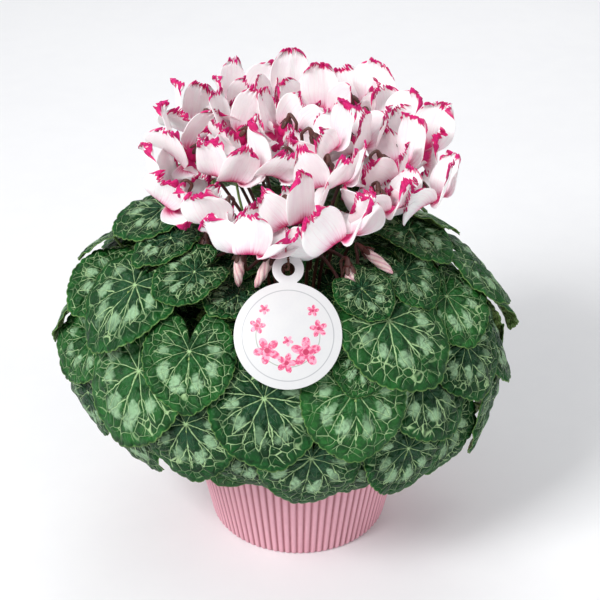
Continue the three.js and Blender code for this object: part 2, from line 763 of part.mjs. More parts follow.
function add(parent, name, solid, material) {
  const { numProp, vertProperties, triVerts } = solid.getMesh();
  const count = vertProperties.length / numProp;
  const position = new Float32Array(3 * count);
  for (let i = 0; i < count; i++) {
    position.set(vertProperties.subarray(i * numProp, i * numProp + 3), 3 * i);
  }
  const geometry = new THREE.BufferGeometry().setAttribute("position", new THREE.BufferAttribute(position, 3));
  geometry.setIndex(new THREE.BufferAttribute(new Uint32Array(triVerts), 1));
  const mesh = new THREE.Mesh(geometry, new THREE.MeshStandardMaterial(material));
  mesh.name = name;
  parent.add(mesh);
  return mesh;
}

function numbered(index) {
  return String(index + 1).padStart(2, "0");
}

const PINK_CERAMIC = { color: 0xd89aa6, roughness: 0.7, metalness: 0 };
const DARK_SOIL = { color: 0x33261e, roughness: 0.95, metalness: 0 };
const BROWN_STALK = { color: 0x5b3428, roughness: 0.6, metalness: 0 };
const LEAF_GREEN = { color: 0x2c5a34, roughness: 0.55, metalness: 0 };
const PETAL_WHITE = { color: 0xf3e6ea, roughness: 0.6, metalness: 0 };
const BUD_PINK = { color: 0xe7c3c4, roughness: 0.6, metalness: 0 };
const CARD_WHITE = { color: 0xf5f5f5, roughness: 0.7, metalness: 0 };

const leaves = settled(LEAVES);
const clusters = leafClusters(leaves);
const sites = bloomSites();

const plantInPot = new THREE.Group();
const foliage = new THREE.Group();
const flowers = new THREE.Group();
const label = new THREE.Group();
plantInPot.add(foliage, flowers, label);

add(plantInPot, "pot", pot(), PINK_CERAMIC);
add(plantInPot, "soil", soil(clusters.map(({ base }) => base)), DARK_SOIL);
add(flowers, "tuber_with_stalks", tuberWithStalks(sites), BROWN_STALK);
clusters.forEach((cluster, i) => add(foliage, `leaves_${numbered(i)}`, leafCluster(cluster), LEAF_GREEN));
sites.forEach((site, i) => add(flowers, `bloom_${numbered(i)}`, bloom(site, sites), PETAL_WHITE));
BUDS.forEach((place, i) => add(flowers, `bud_${i + 1}`, bud(place), BUD_PINK));
const card = add(label, "tag", tag(), CARD_WHITE);
card.position.copy(TAG_CENTRE);
card.rotation.x = radians(90 - TAG_TILT);
add(label, "tag_tie", tagTie(), BROWN_STALK);

export default plantInPot;
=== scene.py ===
"""A cyclamen in a fluted pot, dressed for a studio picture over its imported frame.

Lengths are in millimetres until a mesh is made, and metres from there on. The front faces -Y.
"""

import logging
import math
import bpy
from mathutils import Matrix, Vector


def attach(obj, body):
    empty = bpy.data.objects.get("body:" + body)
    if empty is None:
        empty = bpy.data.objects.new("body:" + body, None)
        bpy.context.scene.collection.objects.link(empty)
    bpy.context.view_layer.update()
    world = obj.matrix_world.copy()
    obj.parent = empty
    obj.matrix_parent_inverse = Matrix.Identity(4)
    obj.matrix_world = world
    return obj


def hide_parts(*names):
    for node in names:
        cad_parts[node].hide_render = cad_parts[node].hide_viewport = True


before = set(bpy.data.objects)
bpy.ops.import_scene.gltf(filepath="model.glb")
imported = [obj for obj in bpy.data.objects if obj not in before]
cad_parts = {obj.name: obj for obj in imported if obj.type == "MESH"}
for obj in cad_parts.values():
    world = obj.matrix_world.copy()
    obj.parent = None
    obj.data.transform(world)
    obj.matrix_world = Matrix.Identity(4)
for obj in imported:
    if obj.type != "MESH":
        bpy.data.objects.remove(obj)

from copy import copy
from dataclasses import dataclass, field
from enum import Enum
from functools import cache

import bpy
import numpy as np

Array = np.ndarray
Body = tuple[Array, Array]
Profile = tuple[tuple[float, float], ...]
Inputs = dict[str | int, object]
Material = bpy.types.Material
Object = bpy.types.Object

LOG = logging.getLogger("cyclamen")
METRES = 0.001
UP = np.array([0.0, 0.0, 1.0])
SOIL_TOP = 100


class Slot(Enum):
    """The record's material slots."""

    POT = "pot"
    SOIL = "soil"
    STALK = "stalk"
    LEAF = "leaf"
    PETAL = "petal"
    BUD = "bud"
    CARD = "card"
    TIE = "tie"


class Mark(Enum):
    """Vectors that a mesh carries at each point, for its material to read."""

    BLADE = "blade"
    BLADE_PLANE = "blade_plane"
    PETAL = "petal"
    PRINT = "print"
    # Where the pot's flute grooves lie, for the painted shade in them
    FLUTE = "flute"


class Cells(Enum):
    """What the distance in a pattern of cells is measured from."""

    MIDDLE = "F1"
    EDGE = "DISTANCE_TO_EDGE"


Marks = dict[Mark, Array]


# Draws and vectors


class Draws:
    """Seeded draws, the same ones for the same seed on every run."""

    seed_factor = 2654435761
    factor = 1664525
    increment = 1013904223
    span = 2**32

    def __init__(self, seed: int) -> None:
        """Starts the draws and passes over the first two.

        Args:
            seed: The number that sets them.
        """
        self.state = (seed + 1) * self.seed_factor % self.span
        self.step()
        self.step()

    def step(self) -> float:
        """Returns the next draw, from 0 to 1."""
        self.state = (self.state * self.factor + self.increment) % self.span
        return self.state / self.span

    def between(self, low: float, high: float) -> float:
        """Returns the next draw, from low to high."""
        return low + (high - low) * self.step()


def lerp(low: float, high: float, share: float | Array) -> float | Array:
    """Returns the value that lies the given share of the way from low to high."""
    return (1 - share) * low + share * high


def smooth(low: float, high: float, value: Array) -> Array:
    """Returns a soft step from 0 at low to 1 at high."""
    share = np.clip((value - low) / (high - low), 0, 1)
    return share * share * (3 - 2 * share)


def unit(vector: Array) -> Array:
    """Returns the vector at length 1."""
    return vector / np.linalg.norm(vector)


def turned(vector: Array, axis: Array, angle: float) -> Array:
    """Returns a vector turned about a unit axis by an angle in radians."""
    level = vector * math.cos(angle) + np.cross(axis, vector) * math.sin(angle)
    return level + axis * axis.dot(vector) * (1 - math.cos(angle))


def heading(azimuth: float) -> Array:
    """Returns the level unit vector at an azimuth in radians from the front towards the right."""
    return np.array([math.sin(azimuth), -math.cos(azimuth), 0.0])


def outer(lengths: Array, direction: Array) -> Array:
    """Returns one vector along the direction for each length."""
    return np.multiply.outer(lengths, direction)


def around(steps: int) -> Array:
    """Returns the angles of even steps once round."""
    return np.arange(steps) * 2 * math.pi / steps


def spokes(angles: Array, first: Array, second: Array) -> Array:
    """Returns a unit vector for each angle, measured from the first axis towards the second."""
    return outer(np.cos(angles), first) + outer(np.sin(angles), second)


# Making meshes


def shell(points: Array, faces: Array, thickness: float | Array) -> Body:
    """Thickens an open surface alike to both sides and walls its edges.

    Args:
        points: The surface's points.
        faces: Its triangles, as point numbers.
        thickness: The thickness, one number or one for each point.

    Returns:
        The points and triangles of the closed shell, upper side first.
    """
    count = len(points)
    corners = points[faces]
    face_normals = np.cross(corners[:, 1] - corners[:, 0], corners[:, 2] - corners[:, 0])
    normals = np.zeros_like(points)
    for corner in range(3):
        np.add.at(normals, faces[:, corner], face_normals)
    normals /= np.linalg.norm(normals, axis=1, keepdims=True)
    offsets = normals * (np.broadcast_to(thickness, count)[:, None] / 2)
    edges = np.concatenate([faces[:, [0, 1]], faces[:, [1, 2]], faces[:, [2, 0]]])
    is_open = ~np.isin(edges[:, 0] * count + edges[:, 1], edges[:, 1] * count + edges[:, 0])
    a, b = edges[is_open].T
    walls = np.concatenate([np.stack([b, a, a + count], 1), np.stack([b, a + count, b + count], 1)])
    under = faces[:, ::-1] + count
    return np.concatenate([points + offsets, points - offsets]), np.concatenate([faces, under, walls])


def grid_faces(rows: int, columns: int, closed: bool = False) -> Array:
    """Joins a grid of points into triangles.

    Args:
        rows: The number of rows of points.
        columns: The number of points in a row.
        closed: Whether each row runs on from its last point to its first.

    Returns:
        The triangles, as point numbers, row by row.
    """
    steps = np.arange(columns if closed else columns - 1)
    row, column = np.meshgrid(np.arange(rows - 1), steps, indexing="ij")
    a = (row * columns + column).ravel()
    b = (row * columns + (column + 1) % columns).ravel()
    c, d = b + columns, a + columns
    return np.concatenate([np.stack([a, b, c], 1), np.stack([a, c, d], 1)])


def capped_faces(rings: int, steps: int) -> Array:
    """Joins a stack of rings, with one point before it and one after it, into triangles.

    Args:
        rings: The number of rings.
        steps: The number of points on each.

    Returns:
        The triangles, as point numbers.
    """
    here = np.arange(steps)
    beside = (here + 1) % steps
    last = rings * steps + 1
    first_fan = np.stack([0 * here, beside + 1, here + 1], 1)
    last_fan = np.stack([last - steps + here, last - steps + beside, 0 * here + last], 1)
    return np.concatenate([first_fan, grid_faces(rings, steps, closed=True) + 1, last_fan])


def revolved(ahead: Array, radius: Array, origin: Array, axis: Array, side: Array) -> Body:
    """Turns a profile about an axis into a closed body. The profile starts and ends on the axis.

    Args:
        ahead: How far along the axis each ring lies.
        radius: The radius of each ring, for each step round it. The first and last are not used.
        origin: The point that the rings are measured from.
        axis: The unit vector of the axis.
        side: A unit vector at right angles to it, where the steps round start.

    Returns:
        The points and triangles of the body.
    """
    steps = radius.shape[1]
    rim = spokes(around(steps), side, np.cross(axis, side))
    rings = origin + outer(ahead, axis)[:, None] + radius[..., None] * rim
    ends = [origin + ahead[0] * axis], [origin + ahead[-1] * axis]
    points = np.concatenate([ends[0], rings[1:-1].reshape(-1, 3), ends[1]])
    return points, capped_faces(len(ahead) - 2, steps)


def rod(line: Array, radii: Array, sides: int) -> Body:
    """Makes a closed rod along a line.

    Args:
        line: The points that its middle runs through.
        radii: Its radius at each of them.
        sides: The number of its sides.

    Returns:
        The points and triangles of the rod.
    """
    across = np.array([1.0, 0.0, 0.0])
    rings = []
    for i, point in enumerate(line):
        along = unit(line[min(i + 1, len(line) - 1)] - line[max(i - 1, 0)])
        across = unit(across - along * across.dot(along))
        rings.append(point + radii[i] * spokes(around(sides), across, np.cross(along, across)))
    return np.concatenate([[line[0]], *rings, [line[-1]]]), capped_faces(len(line), sides)


def through(knots: Array, steps: int) -> Array:
    """Draws a smooth line through knots.

    Args:
        knots: The points that the line passes, each of any number of values.
        steps: The number of steps between each two.

    Returns:
        The points of the line.
    """
    padded = np.concatenate([knots[:1], knots, knots[-1:]])
    line = []
    for i in range(len(knots) - 1):
        for step in range(steps):
            t = step / steps
            weights = (
                (-t + 2 * t**2 - t**3) / 2,
                (2 - 5 * t**2 + 3 * t**3) / 2,
                (t + 4 * t**2 - 3 * t**3) / 2,
                (t**3 - t**2) / 2,
            )
            line.append(sum(weight * knot for weight, knot in zip(weights, padded[i : i + 4])))
    return np.array([*line, knots[-1]])


def closed_line(knots: Array, count: int) -> Array:
    """Draws a smooth closed line through knots, which turns no loops between near ones.

    Args:
        knots: The points that the line passes.
        count: The number of points wanted.

    Returns:
        The points, the first not repeated at the end.
    """
    total = len(knots)
    line = []
    for step in range(count):
        place = step / count * total
        i = int(place)
        t = place - i
        p0, p1, p2, p3 = (knots[(i + k) % total] for k in (-1, 0, 1, 2))
        d0, d1, d2 = (math.sqrt(np.linalg.norm(b - a)) for a, b in ((p0, p1), (p1, p2), (p2, p3)))
        leave = ((p1 - p0) / d0 - (p2 - p0) / (d0 + d1) + (p2 - p1) / d1) * d1
        arrive = ((p2 - p1) / d1 - (p3 - p1) / (d1 + d2) + (p3 - p2) / d2) * d1
        cubic = 2 * p1 - 2 * p2 + leave + arrive
        square = -3 * p1 + 3 * p2 - 2 * leave - arrive
        line.append(p1 + leave * t + square * t**2 + cubic * t**3)
    return np.array(line)


def bezier(knots: Array, steps: int) -> Array:
    """Draws a cubic curve.

    Args:
        knots: Its four control points.
        steps: The number of steps along it.

    Returns:
        The points of the curve.
    """
    t = np.linspace(0, 1, steps + 1)[:, None]
    a, b, c, d = knots
    return (1 - t) ** 3 * a + 3 * (1 - t) ** 2 * t * b + 3 * (1 - t) * t**2 * c + t**3 * d


class Mould:
    """Gathers closed shells in millimetres and turns them into one piece."""

    def __init__(self, name: str, *marks: Mark) -> None:
        """Starts a piece.

        Args:
            name: Its name.
            marks: The marks that its points carry.
        """
        self.name = name
        self.points: list[Array] = []
        self.faces: list[Array] = []
        self.finishes: list[Array] = []
        self.marks: dict[Mark, list[Array]] = {mark: [] for mark in marks}
        self.count = 0

    def add(self, body: Body, marks: Marks | None = None, finish: int = 0) -> None:
        """Adds a closed shell.

        Args:
            body: Its points and triangles.
            marks: A vector for each point, by mark. What isn't given is zero.
            finish: The number of its material on the piece.
        """
        points, faces = body
        self.points.append(points)
        self.faces.append(faces + self.count)
        self.finishes.append(np.full(len(faces), finish))
        self.count += len(points)
        for mark, values in self.marks.items():
            values.append((marks or {}).get(mark, np.zeros_like(points)))

    def piece(self, materials: list[Material], slot: Slot, node: str) -> Object:
        """Makes the piece and hands it over to the frame.

        Args:
            materials: Its materials, in the order of their numbers.
            slot: The record's slot for the piece. It is not used.
            node: The frame's node that it stands for.

        Returns:
            The piece.
        """
        faces = np.concatenate(self.faces)
        mesh = bpy.data.meshes.new(self.name)
        mesh.vertices.add(self.count)
        mesh.vertices.foreach_set("co", (np.concatenate(self.points) * METRES).ravel())
        mesh.loops.add(faces.size)
        mesh.loops.foreach_set("vertex_index", faces.ravel().astype(np.int32))
        mesh.polygons.add(len(faces))
        mesh.polygons.foreach_set("loop_start", np.arange(0, faces.size, 3, dtype=np.int32))
        mesh.polygons.foreach_set("material_index", np.concatenate(self.finishes).astype(np.int32))
        mesh.update(calc_edges=True)
        mesh.shade_smooth()
        for mark, values in self.marks.items():
            layer = mesh.attributes.new(mark.value, "FLOAT_VECTOR", "POINT")
            layer.data.foreach_set("vector", np.concatenate(values).ravel())
        piece = bpy.data.objects.new(self.name, mesh)
        bpy.context.collection.objects.link(piece)
        return handed_over(piece, materials, node)


def handed_over(piece: Object, materials: list[Material], node: str) -> Object:
    """Dresses a finished piece and ties it to the frame.

    Args:
        piece: The piece.
        materials: Its materials.
        node: The frame's node that it stands for.

    Returns:
        The same piece.
    """
    piece.data.materials.clear()
    for material in materials:
        piece.data.materials.append(material)
    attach(piece, "root")
    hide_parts(node)
    return piece


# Making materials


def paint(code: str) -> tuple[float, float, float, float]:
    """Turns a web colour code into a linear colour.

    Args:
        code: The code, such as #e6acba.

    Returns:
        Its red, green, blue and alpha.
    """
    parts = [int(code[i : i + 2], 16) / 255 for i in (1, 3, 5)]
    linear = [part / 12.92 if part <= 0.04045 else ((part + 0.055) / 1.055) ** 2.4 for part in parts]
    return (*linear, 1.0)


@dataclass(frozen=True)
class Value:
    """A value that changes over a surface. Its arithmetic places Math nodes."""

    nodes: "Nodes"
    socket: bpy.types.NodeSocket

    def __add__(self, other: "Value | float") -> "Value":
        """Returns the sum."""
        return self.nodes.math("ADD", self, other)

    def __sub__(self, other: "Value | float") -> "Value":
        """Returns the difference."""
        return self.nodes.math("SUBTRACT", self, other)

    def __rsub__(self, other: float) -> "Value":
        """Returns a number less this value."""
        return self.nodes.math("SUBTRACT", other, self)

    def __mul__(self, other: "Value | float") -> "Value":
        """Returns the product."""
        return self.nodes.math("MULTIPLY", self, other)

    def __truediv__(self, other: "Value | float") -> "Value":
        """Returns the quotient."""
        return self.nodes.math("DIVIDE", self, other)

    def __abs__(self) -> "Value":
        """Returns the value without its sign."""
        return self.nodes.math("ABSOLUTE", self)

    def folded(self, length: float = 0.5) -> "Value":
        """Returns the value folded to and fro between 0 and a length."""
        return self.nodes.math("PINGPONG", self, length)

    def step(self, low: "Value | float", high: "Value | float") -> "Value":
        """Returns a soft step from 0 at low to 1 at high."""
        inputs = {"Value": self, "From Min": low, "From Max": high}
        return self.nodes.value("ShaderNodeMapRange", inputs, interpolation_type="SMOOTHSTEP")

    def fade(self, low: "Value | float", high: "Value | float") -> "Value":
        """Returns a soft step from 1 at low to 0 at high."""
        return 1 - self.step(low, high)


class Nodes:
    """Places shader nodes in a tree and joins them. Values, numbers and colour codes may be their inputs."""

    def __init__(self, tree: bpy.types.NodeTree) -> None:
        """Takes the tree to work in."""
        self.tree = tree

    def node(self, kind: str, inputs: Inputs | None = None, **settings: object) -> bpy.types.Node:
        """Places a node.

        Args:
            kind: The node's type.
            inputs: What goes into it, by the inputs' names or numbers.
            settings: Values for its own settings.

        Returns:
            The node.
        """
        node = self.tree.nodes.new(kind)
        for name, value in settings.items():
            setattr(node, name, value)
        for key, value in (inputs or {}).items():
            if isinstance(value, Value):
                self.tree.links.new(value.socket, node.inputs[key])
            else:
                node.inputs[key].default_value = paint(value) if isinstance(value, str) else value
        return node

    def value(
        self, kind: str, inputs: Inputs | None = None, output: str | int = 0, **settings: object
    ) -> Value:
        """Returns what a new node puts out under a name or number."""
        return Value(self, self.node(kind, inputs, **settings).outputs[output])

    def math(self, operation: str, *values: Value | float, clamp: bool = False) -> Value:
        """Returns the result of a Math node on the values."""
        return self.value("ShaderNodeMath", dict(enumerate(values)), operation=operation, use_clamp=clamp)

    def most(self, first: Value, *others: Value) -> Value:
        """Finds the greatest of some values at each place.

        Args:
            first: One value.
            others: The others.

        Returns:
            The greatest.
        """
        for other in others:
            first = self.math("MAXIMUM", first, other)
        return first

    def vector(self, operation: str, first: Value, second: Value | tuple) -> Value:
        """Returns the result of a Vector Math node on two vectors."""
        return self.value("ShaderNodeVectorMath", {0: first, 1: second}, operation=operation)

    def mix(self, share: Value, first: Value | str, second: Value | str) -> Value:
        """Returns the colour that lies the given share of the way from the first to the second."""
        return self.value("ShaderNodeMix", {0: share, 6: first, 7: second}, 2, data_type="RGBA")

    def noise(self, at: Value, scale: Value | float, detail: float = 2, roughness: float = 0.5) -> Value:
        """Returns soft noise, mostly from 0.3 to 0.7."""
        inputs = {"Vector": at, "Scale": scale, "Detail": detail, "Roughness": roughness}
        return self.value("ShaderNodeTexNoise", inputs)

    def cells(self, at: Value, scale: float, randomness: float, origin: Cells) -> Value:
        """Returns the distance from the middles or from the edges in a pattern of cells."""
        inputs = {"Vector": at, "Scale": scale, "Randomness": randomness}
        return self.value("ShaderNodeTexVoronoi", inputs, "Distance", feature=origin.value)

    def attribute(self, mark: Mark) -> Value:
        """Returns the vector that the mesh carries under a mark."""
        return self.value("ShaderNodeAttribute", output="Vector", attribute_name=mark.value)

    def on_object(self) -> Value:
        """Returns the place on the object, in metres."""
        return self.value("ShaderNodeTexCoord", output="Object")

    def split(self, vector: Value) -> tuple[Value, Value, Value]:
        """Returns a vector's three values."""
        outputs = self.node("ShaderNodeSeparateXYZ", {0: vector}).outputs
        return tuple(Value(self, output) for output in outputs)

    def bump(self, height: Value, distance: float, strength: float = 1) -> Value:
        """Returns the normal of a surface raised by the height, over a distance in metres."""
        return self.value("ShaderNodeBump", {"Height": height, "Distance": distance, "Strength": strength})


@cache
def mottle_group() -> bpy.types.NodeTree:
    """Builds, once, the group that mottles a colour and gives a height to go with it.

    Returns:
        The group.
    """
    group = bpy.data.node_groups.new("mottle", "ShaderNodeTree")
    takes = {"Colour": "Color", "Dark": "Color", "Scale": "Float", "Amount": "Float"}
    gives = {"Colour": "Color", "Height": "Float"}
    for in_out, sockets in (("INPUT", takes), ("OUTPUT", gives)):
        for name, kind in sockets.items():
            group.interface.new_socket(name, in_out=in_out, socket_type="NodeSocket" + kind)
    nodes = Nodes(group)
    given = nodes.node("NodeGroupInput").outputs
    colour, dark, scale, amount = (Value(nodes, given[name]) for name in takes)
    at = nodes.on_object()
    height = nodes.noise(at, scale, 4) * 0.6 + nodes.noise(at, scale * 7, 3, 0.6) * 0.4
    mottled = nodes.mix(height.step(0.35, 0.7) * amount, colour, dark)
    nodes.node("NodeGroupOutput", {"Colour": mottled, "Height": height})
    return group


class Surface(Nodes):
    """A material in the making."""

    def __init__(self, name: str, **constants: object) -> None:
        """Starts the material.

        Args:
            name: Its name.
            constants: Values for its shader's inputs, with _ for a space.
        """
        self.material = bpy.data.materials.new(name)
        self.material.use_nodes = True
        super().__init__(self.material.node_tree)
        self.inputs = self.tree.nodes["Principled BSDF"].inputs
        for key, value in constants.items():
            self.inputs[key.replace("_", " ")].default_value = value

    def mottled(self, colour: Value | str, dark: str, scale: float, amount: float) -> tuple[Value, Value]:
        """Places the mottle group.

        Args:
            colour: The plain colour.
            dark: The colour of its darker patches.
            scale: How many patches there are to a metre.
            amount: How strong they are, from 0 to 1.

        Returns:
            The mottled colour and a height to go with it.
        """
        inputs = {"Colour": colour, "Dark": dark, "Scale": scale, "Amount": amount}
        outputs = self.node("ShaderNodeGroup", inputs, node_tree=mottle_group()).outputs
        return Value(self, outputs["Colour"]), Value(self, outputs["Height"])

    def finished(self, **values: Value) -> Material:
        """Joins values to the shader.

        Args:
            values: The values by the shader's inputs, with _ for a space.

        Returns:
            The material.
        """
        for key, value in values.items():
            self.tree.links.new(value.socket, self.inputs[key.replace("_", " ")])
        return self.material


@dataclass(frozen=True)
class PlainFinish:
    """A matt natural finish: one colour, mottled, with a fine raised grain."""

    name: str
    colour: str
    dark: str
    scale: float
    roughness: float
    amount: float = 0.5
    grain: float = 0.0002

    def material(self) -> Material:
        """Makes the material.

        Returns:
            The material.
        """
        nodes = Surface(self.name, Roughness=self.roughness)
        colour, height = nodes.mottled(self.colour, self.dark, self.scale, self.amount)
        return nodes.finished(Base_Color=colour, Normal=nodes.bump(height, self.grain))


@dataclass(frozen=True)
class PotFinish:
    """Dusty pink matt ceramic, with painted shade darkening the grooves between its flutes."""

    colour: str = "#e6acba"
    painted_groove_shade: str = "#94565f"
    cloud: str = "#cf8f9c"
    roughness: float = 0.55

    def material(self) -> Material:
        """Makes the material.

        Returns:
            The material.
        """
        nodes = Surface("pot_ceramic", Roughness=self.roughness)
        # Painted shade: the grooves between the flutes are darkened in the colour, read from the mark of each
        # groove's depth.
        unshaded_ridge = nodes.split(nodes.attribute(Mark.FLUTE))[0].step(0, 0.9)
        colour, height = nodes.mottled(nodes.mix(unshaded_ridge, self.painted_groove_shade, self.colour), self.cloud, 25, 0.35)
        height = height + nodes.noise(nodes.on_object(), 900, 3) * 0.35
        return nodes.finished(Base_Color=colour, Normal=nodes.bump(height, 0.0003, 0.6))


class Marbling:
    """The masks of a marbled blade, from the marks that its mesh carries."""

    def __init__(self, nodes: Nodes) -> None:
        """Reads the marks, and bends them by noise.

        Args:
            nodes: The material's nodes.
        """
        self.nodes = nodes
        spacing, self.share, self.tone = nodes.split(nodes.attribute(Mark.BLADE))
        plane = nodes.attribute(Mark.BLADE_PLANE)
        self.upper = nodes.split(plane)[2]
        self.flat = nodes.vector("ADD", nodes.vector("MULTIPLY", plane, (1, 1, 0)), self.tone * 9)
        self.warp = nodes.noise(self.flat, 5, 1) - 0.5
        self.jitter = nodes.noise(self.flat, 22, 1) - 0.5
        self.warped = nodes.vector("ADD", self.flat, self.warp * 0.12)
        self.bent = spacing + self.jitter * 0.1 + self.warp * 0.4
        self.fold = self.bent.folded()

    def veins(self) -> Value:
        """Returns the mask of the main veins, which fan out from the stem and thin towards the edge."""
        width = 0.033 - self.share * 0.02
        return (self.fold * self.share).fade(width * 0.4, width) * self.share.fade(0.66, 0.86)

    def arches(self, start: float = 0.38, end: float = 0.76) -> Value:
        """Masks the branches that leave each vein on both sides and close into arches halfway to the next.

        Args:
            start: The share of the way out where they leave the vein.
            end: The share where they close.

        Returns:
            The mask.
        """
        reach = self.share + self.warp * 0.3
        gone = self.nodes.math("DIVIDE", reach - start, end - start, clamp=True)
        branch = self.nodes.math("POWER", gone, 0.6) * 0.5
        band = reach.step(start, start + 0.03) - reach.step(end - 0.01, end + 0.02)
        return (abs(self.fold - branch) * reach).fade(0.007, 0.021) * band

    def network(self) -> tuple[Value, Value]:
        """Masks the small network towards the edge.

        Returns:
            The mask, and the height of the skin between its lines.
        """
        edge = self.nodes.cells(self.warped, 9, 0.75, Cells.EDGE)
        band = self.share.step(0.5, 0.68) * self.share.fade(0.9, 0.95)
        strength = self.nodes.noise(self.warped, 4, 1).step(0.35, 0.6) * 0.6 + 0.3
        return edge.fade(0.012, 0.048) * band * strength, edge.step(0, 0.28)

    def twigs(self) -> Value:
        """Masks the side veins that leave each main vein on a slant.

        Returns:
            The mask.
        """
        beat = (self.share - self.fold * 0.62 - 0.08).folded(0.115)
        near = self.share.step(0.2, 0.3) * (self.fold * self.share).fade(0.14, 0.22)
        return beat.fade(0.003, 0.009) * near * 0.3

    def patches(self) -> Value:
        """Masks the soft silvery patches, one between each two main veins, and the flecks about them.

        Returns:
            The mask.
        """
        noise = self.nodes.noise
        size = noise(self.warped, 4.5, 0) - 0.5
        across = (0.5 - self.fold) / (size * 0.5 + 0.36)
        along = (self.share - (size * 0.25 + 0.56)) / 0.15
        ragged = across * across + along * along + self.jitter * 1.6 + noise(self.warped, 45, 4, 0.65) * 1.1
        strength = noise(self.warped, 3, 1).step(0.35, 0.6) * 0.55 + 0.4
        patch = ragged.fade(0.8, 1.75) * self.bent.fade(2.4, 3.6) * strength
        band = self.share.step(0.5, 0.58) * self.share.fade(0.66, 0.78)
        return self.nodes.most(patch, noise(self.warped, 52, 2, 0.7).step(0.6, 0.68) * band * 0.5)


@dataclass(frozen=True)
class LeafFinish:
    """A marbled blade: pale veins and network, soft silvery patches between them, dark green ground."""

    ground: str = "#083913"
    centre: str = "#1b442a"
    margin: str = "#13521d"
    young: str = "#2b6a2a"
    shade: str = "#08210f"
    rim: str = "#7ea25a"
    vein: str = "#b4d69a"
    patch: str = "#9fc59a"
    under: str = "#6f8f4a"
    under_vein: str = "#9aaf6e"

    def material(self) -> Material:
        """Makes the material.

        Returns:
            The material.
        """
        nodes = Surface("leaf_blade", Specular_IOR_Level=0.2)
        marks = Marbling(nodes)
        patches = marks.patches()
        network, cushions = marks.network()
        fine = nodes.most(network, marks.twigs(), marks.arches()) * (1 - patches * 0.6)
        lines = nodes.most(marks.veins(), fine)
        colour = nodes.mix(patches * 0.8, self.ground_colour(nodes, marks), self.patch)
        colour = nodes.mix(lines * 0.78, colour, self.vein)
        colour = nodes.mix(marks.upper, nodes.mix(lines * 0.5, self.under, self.under_vein), colour)
        gloss = nodes.noise(marks.flat, 30, 2) * 0.25 + 0.36
        sunk = (nodes.cells(marks.warped, 26, 1, Cells.MIDDLE) + lines) * 0.6
        height = cushions * 0.8 + nodes.noise(marks.flat, 12, 3) * 1.6 - sunk
        return nodes.finished(Base_Color=colour, Roughness=gloss, Normal=nodes.bump(height, 0.0018))

    def ground_colour(self, nodes: Nodes, marks: Marbling) -> Value:
        """Makes the colour under the marbling, greyer in the middle and brighter at the edge.

        Args:
            nodes: The material's nodes.
            marks: The blade's masks.

        Returns:
            The colour.
        """
        colour = nodes.mix(marks.share.step(0.2, 0.55), self.centre, self.ground)
        colour = nodes.mix(marks.share.step(0.75, 0.98), colour, self.margin)
        colour = nodes.mix(marks.tone.step(0.2, 1) * 0.6, colour, self.young)
        colour = nodes.mix(nodes.noise(marks.flat, 9, 3).step(0.4, 0.7) * 0.6, colour, self.shade)
        return nodes.mix(marks.share.step(0.975, 0.995) * 0.6, colour, self.rim)


@dataclass(frozen=True)
class PetalFinish:
    """A white petal with a crimson frill at its tip and a magenta eye at its foot."""

    white: str = "#fffbfa"
    shade: str = "#fbf0f3"
    blush: str = "#f3c6d7"
    frill: str = "#d81367"
    eye: str = "#cf1669"
    mouth: str = "#4a0f28"
    anther: str = "#6b4a2c"
    glow: tuple[float, float, float] = (1.0, 0.7, 0.7)

    def material(self) -> Material:
        """Makes the material.

        Returns:
            The material.
        """
        nodes = Surface("petal_white", Roughness=0.6, Specular_IOR_Level=0.3, Subsurface_Weight=0.5,
                        Subsurface_Radius=self.glow, Subsurface_Scale=0.004)
        mark = nodes.attribute(Mark.PETAL)
        along, across, _ = nodes.split(mark)
        stretched = nodes.vector("MULTIPLY", mark, (1.2, 12.0, 31.0))
        streaks = nodes.noise(stretched, 1.5, 3)
        clouds = nodes.noise(mark, 2.4, 2)
        colour = nodes.mix(clouds.step(0.35, 0.7), self.white, self.shade)
        colour = nodes.mix(streaks.step(0.5, 0.75) * 0.3, colour, self.blush)
        reach = along + across * across * 0.16 - (streaks - 0.5) * 0.2
        colour = nodes.mix(reach.fade(0.22, 0.55), colour, self.blush)
        colour = nodes.mix(reach.fade(0.17, 0.36), colour, self.eye)
        ragged = along + (clouds - 0.5) * 0.26 + (streaks - 0.5) * 0.2
        sides = abs(across).step(0.84, 0.95) * along.step(0.82, 0.88)
        colour = nodes.mix(nodes.most(ragged.step(0.915, 0.945), sides), colour, self.frill)
        colour = nodes.mix(along.step(-0.1, -0.3), colour, self.mouth)
        colour = nodes.mix(along.step(-0.6, -0.9), colour, self.anther)
        height = nodes.noise(mark, 14, 3) + nodes.noise(stretched, 3, 2) * 0.5
        return nodes.finished(Base_Color=colour, Normal=nodes.bump(height, 0.0003, 0.5))


@dataclass(frozen=True)
class BudFinish:
    """A furled bud: pale pink, deeper along its spiral seams and at its tip."""

    pale: str = "#f3dcd8"
    cloud: str = "#dfb3ae"
    seam: str = "#cc6d8f"
    tip: str = "#cf7f96"

    def material(self) -> Material:
        """Makes the material.

        Returns:
            The material.
        """
        nodes = Surface("bud_pink", Roughness=0.55, Subsurface_Weight=0.1, Subsurface_Scale=0.003)
        along, seam, _ = nodes.split(nodes.attribute(Mark.PETAL))
        colour, height = nodes.mottled(self.pale, self.cloud, 180, 0.7)
        colour = nodes.mix(seam.step(0.5, 1) * 0.55, colour, self.seam)
        colour = nodes.mix(along.step(0.75, 1) * 0.6, colour, self.tip)
        return nodes.finished(Base_Color=colour, Normal=nodes.bump(height, 0.0004))


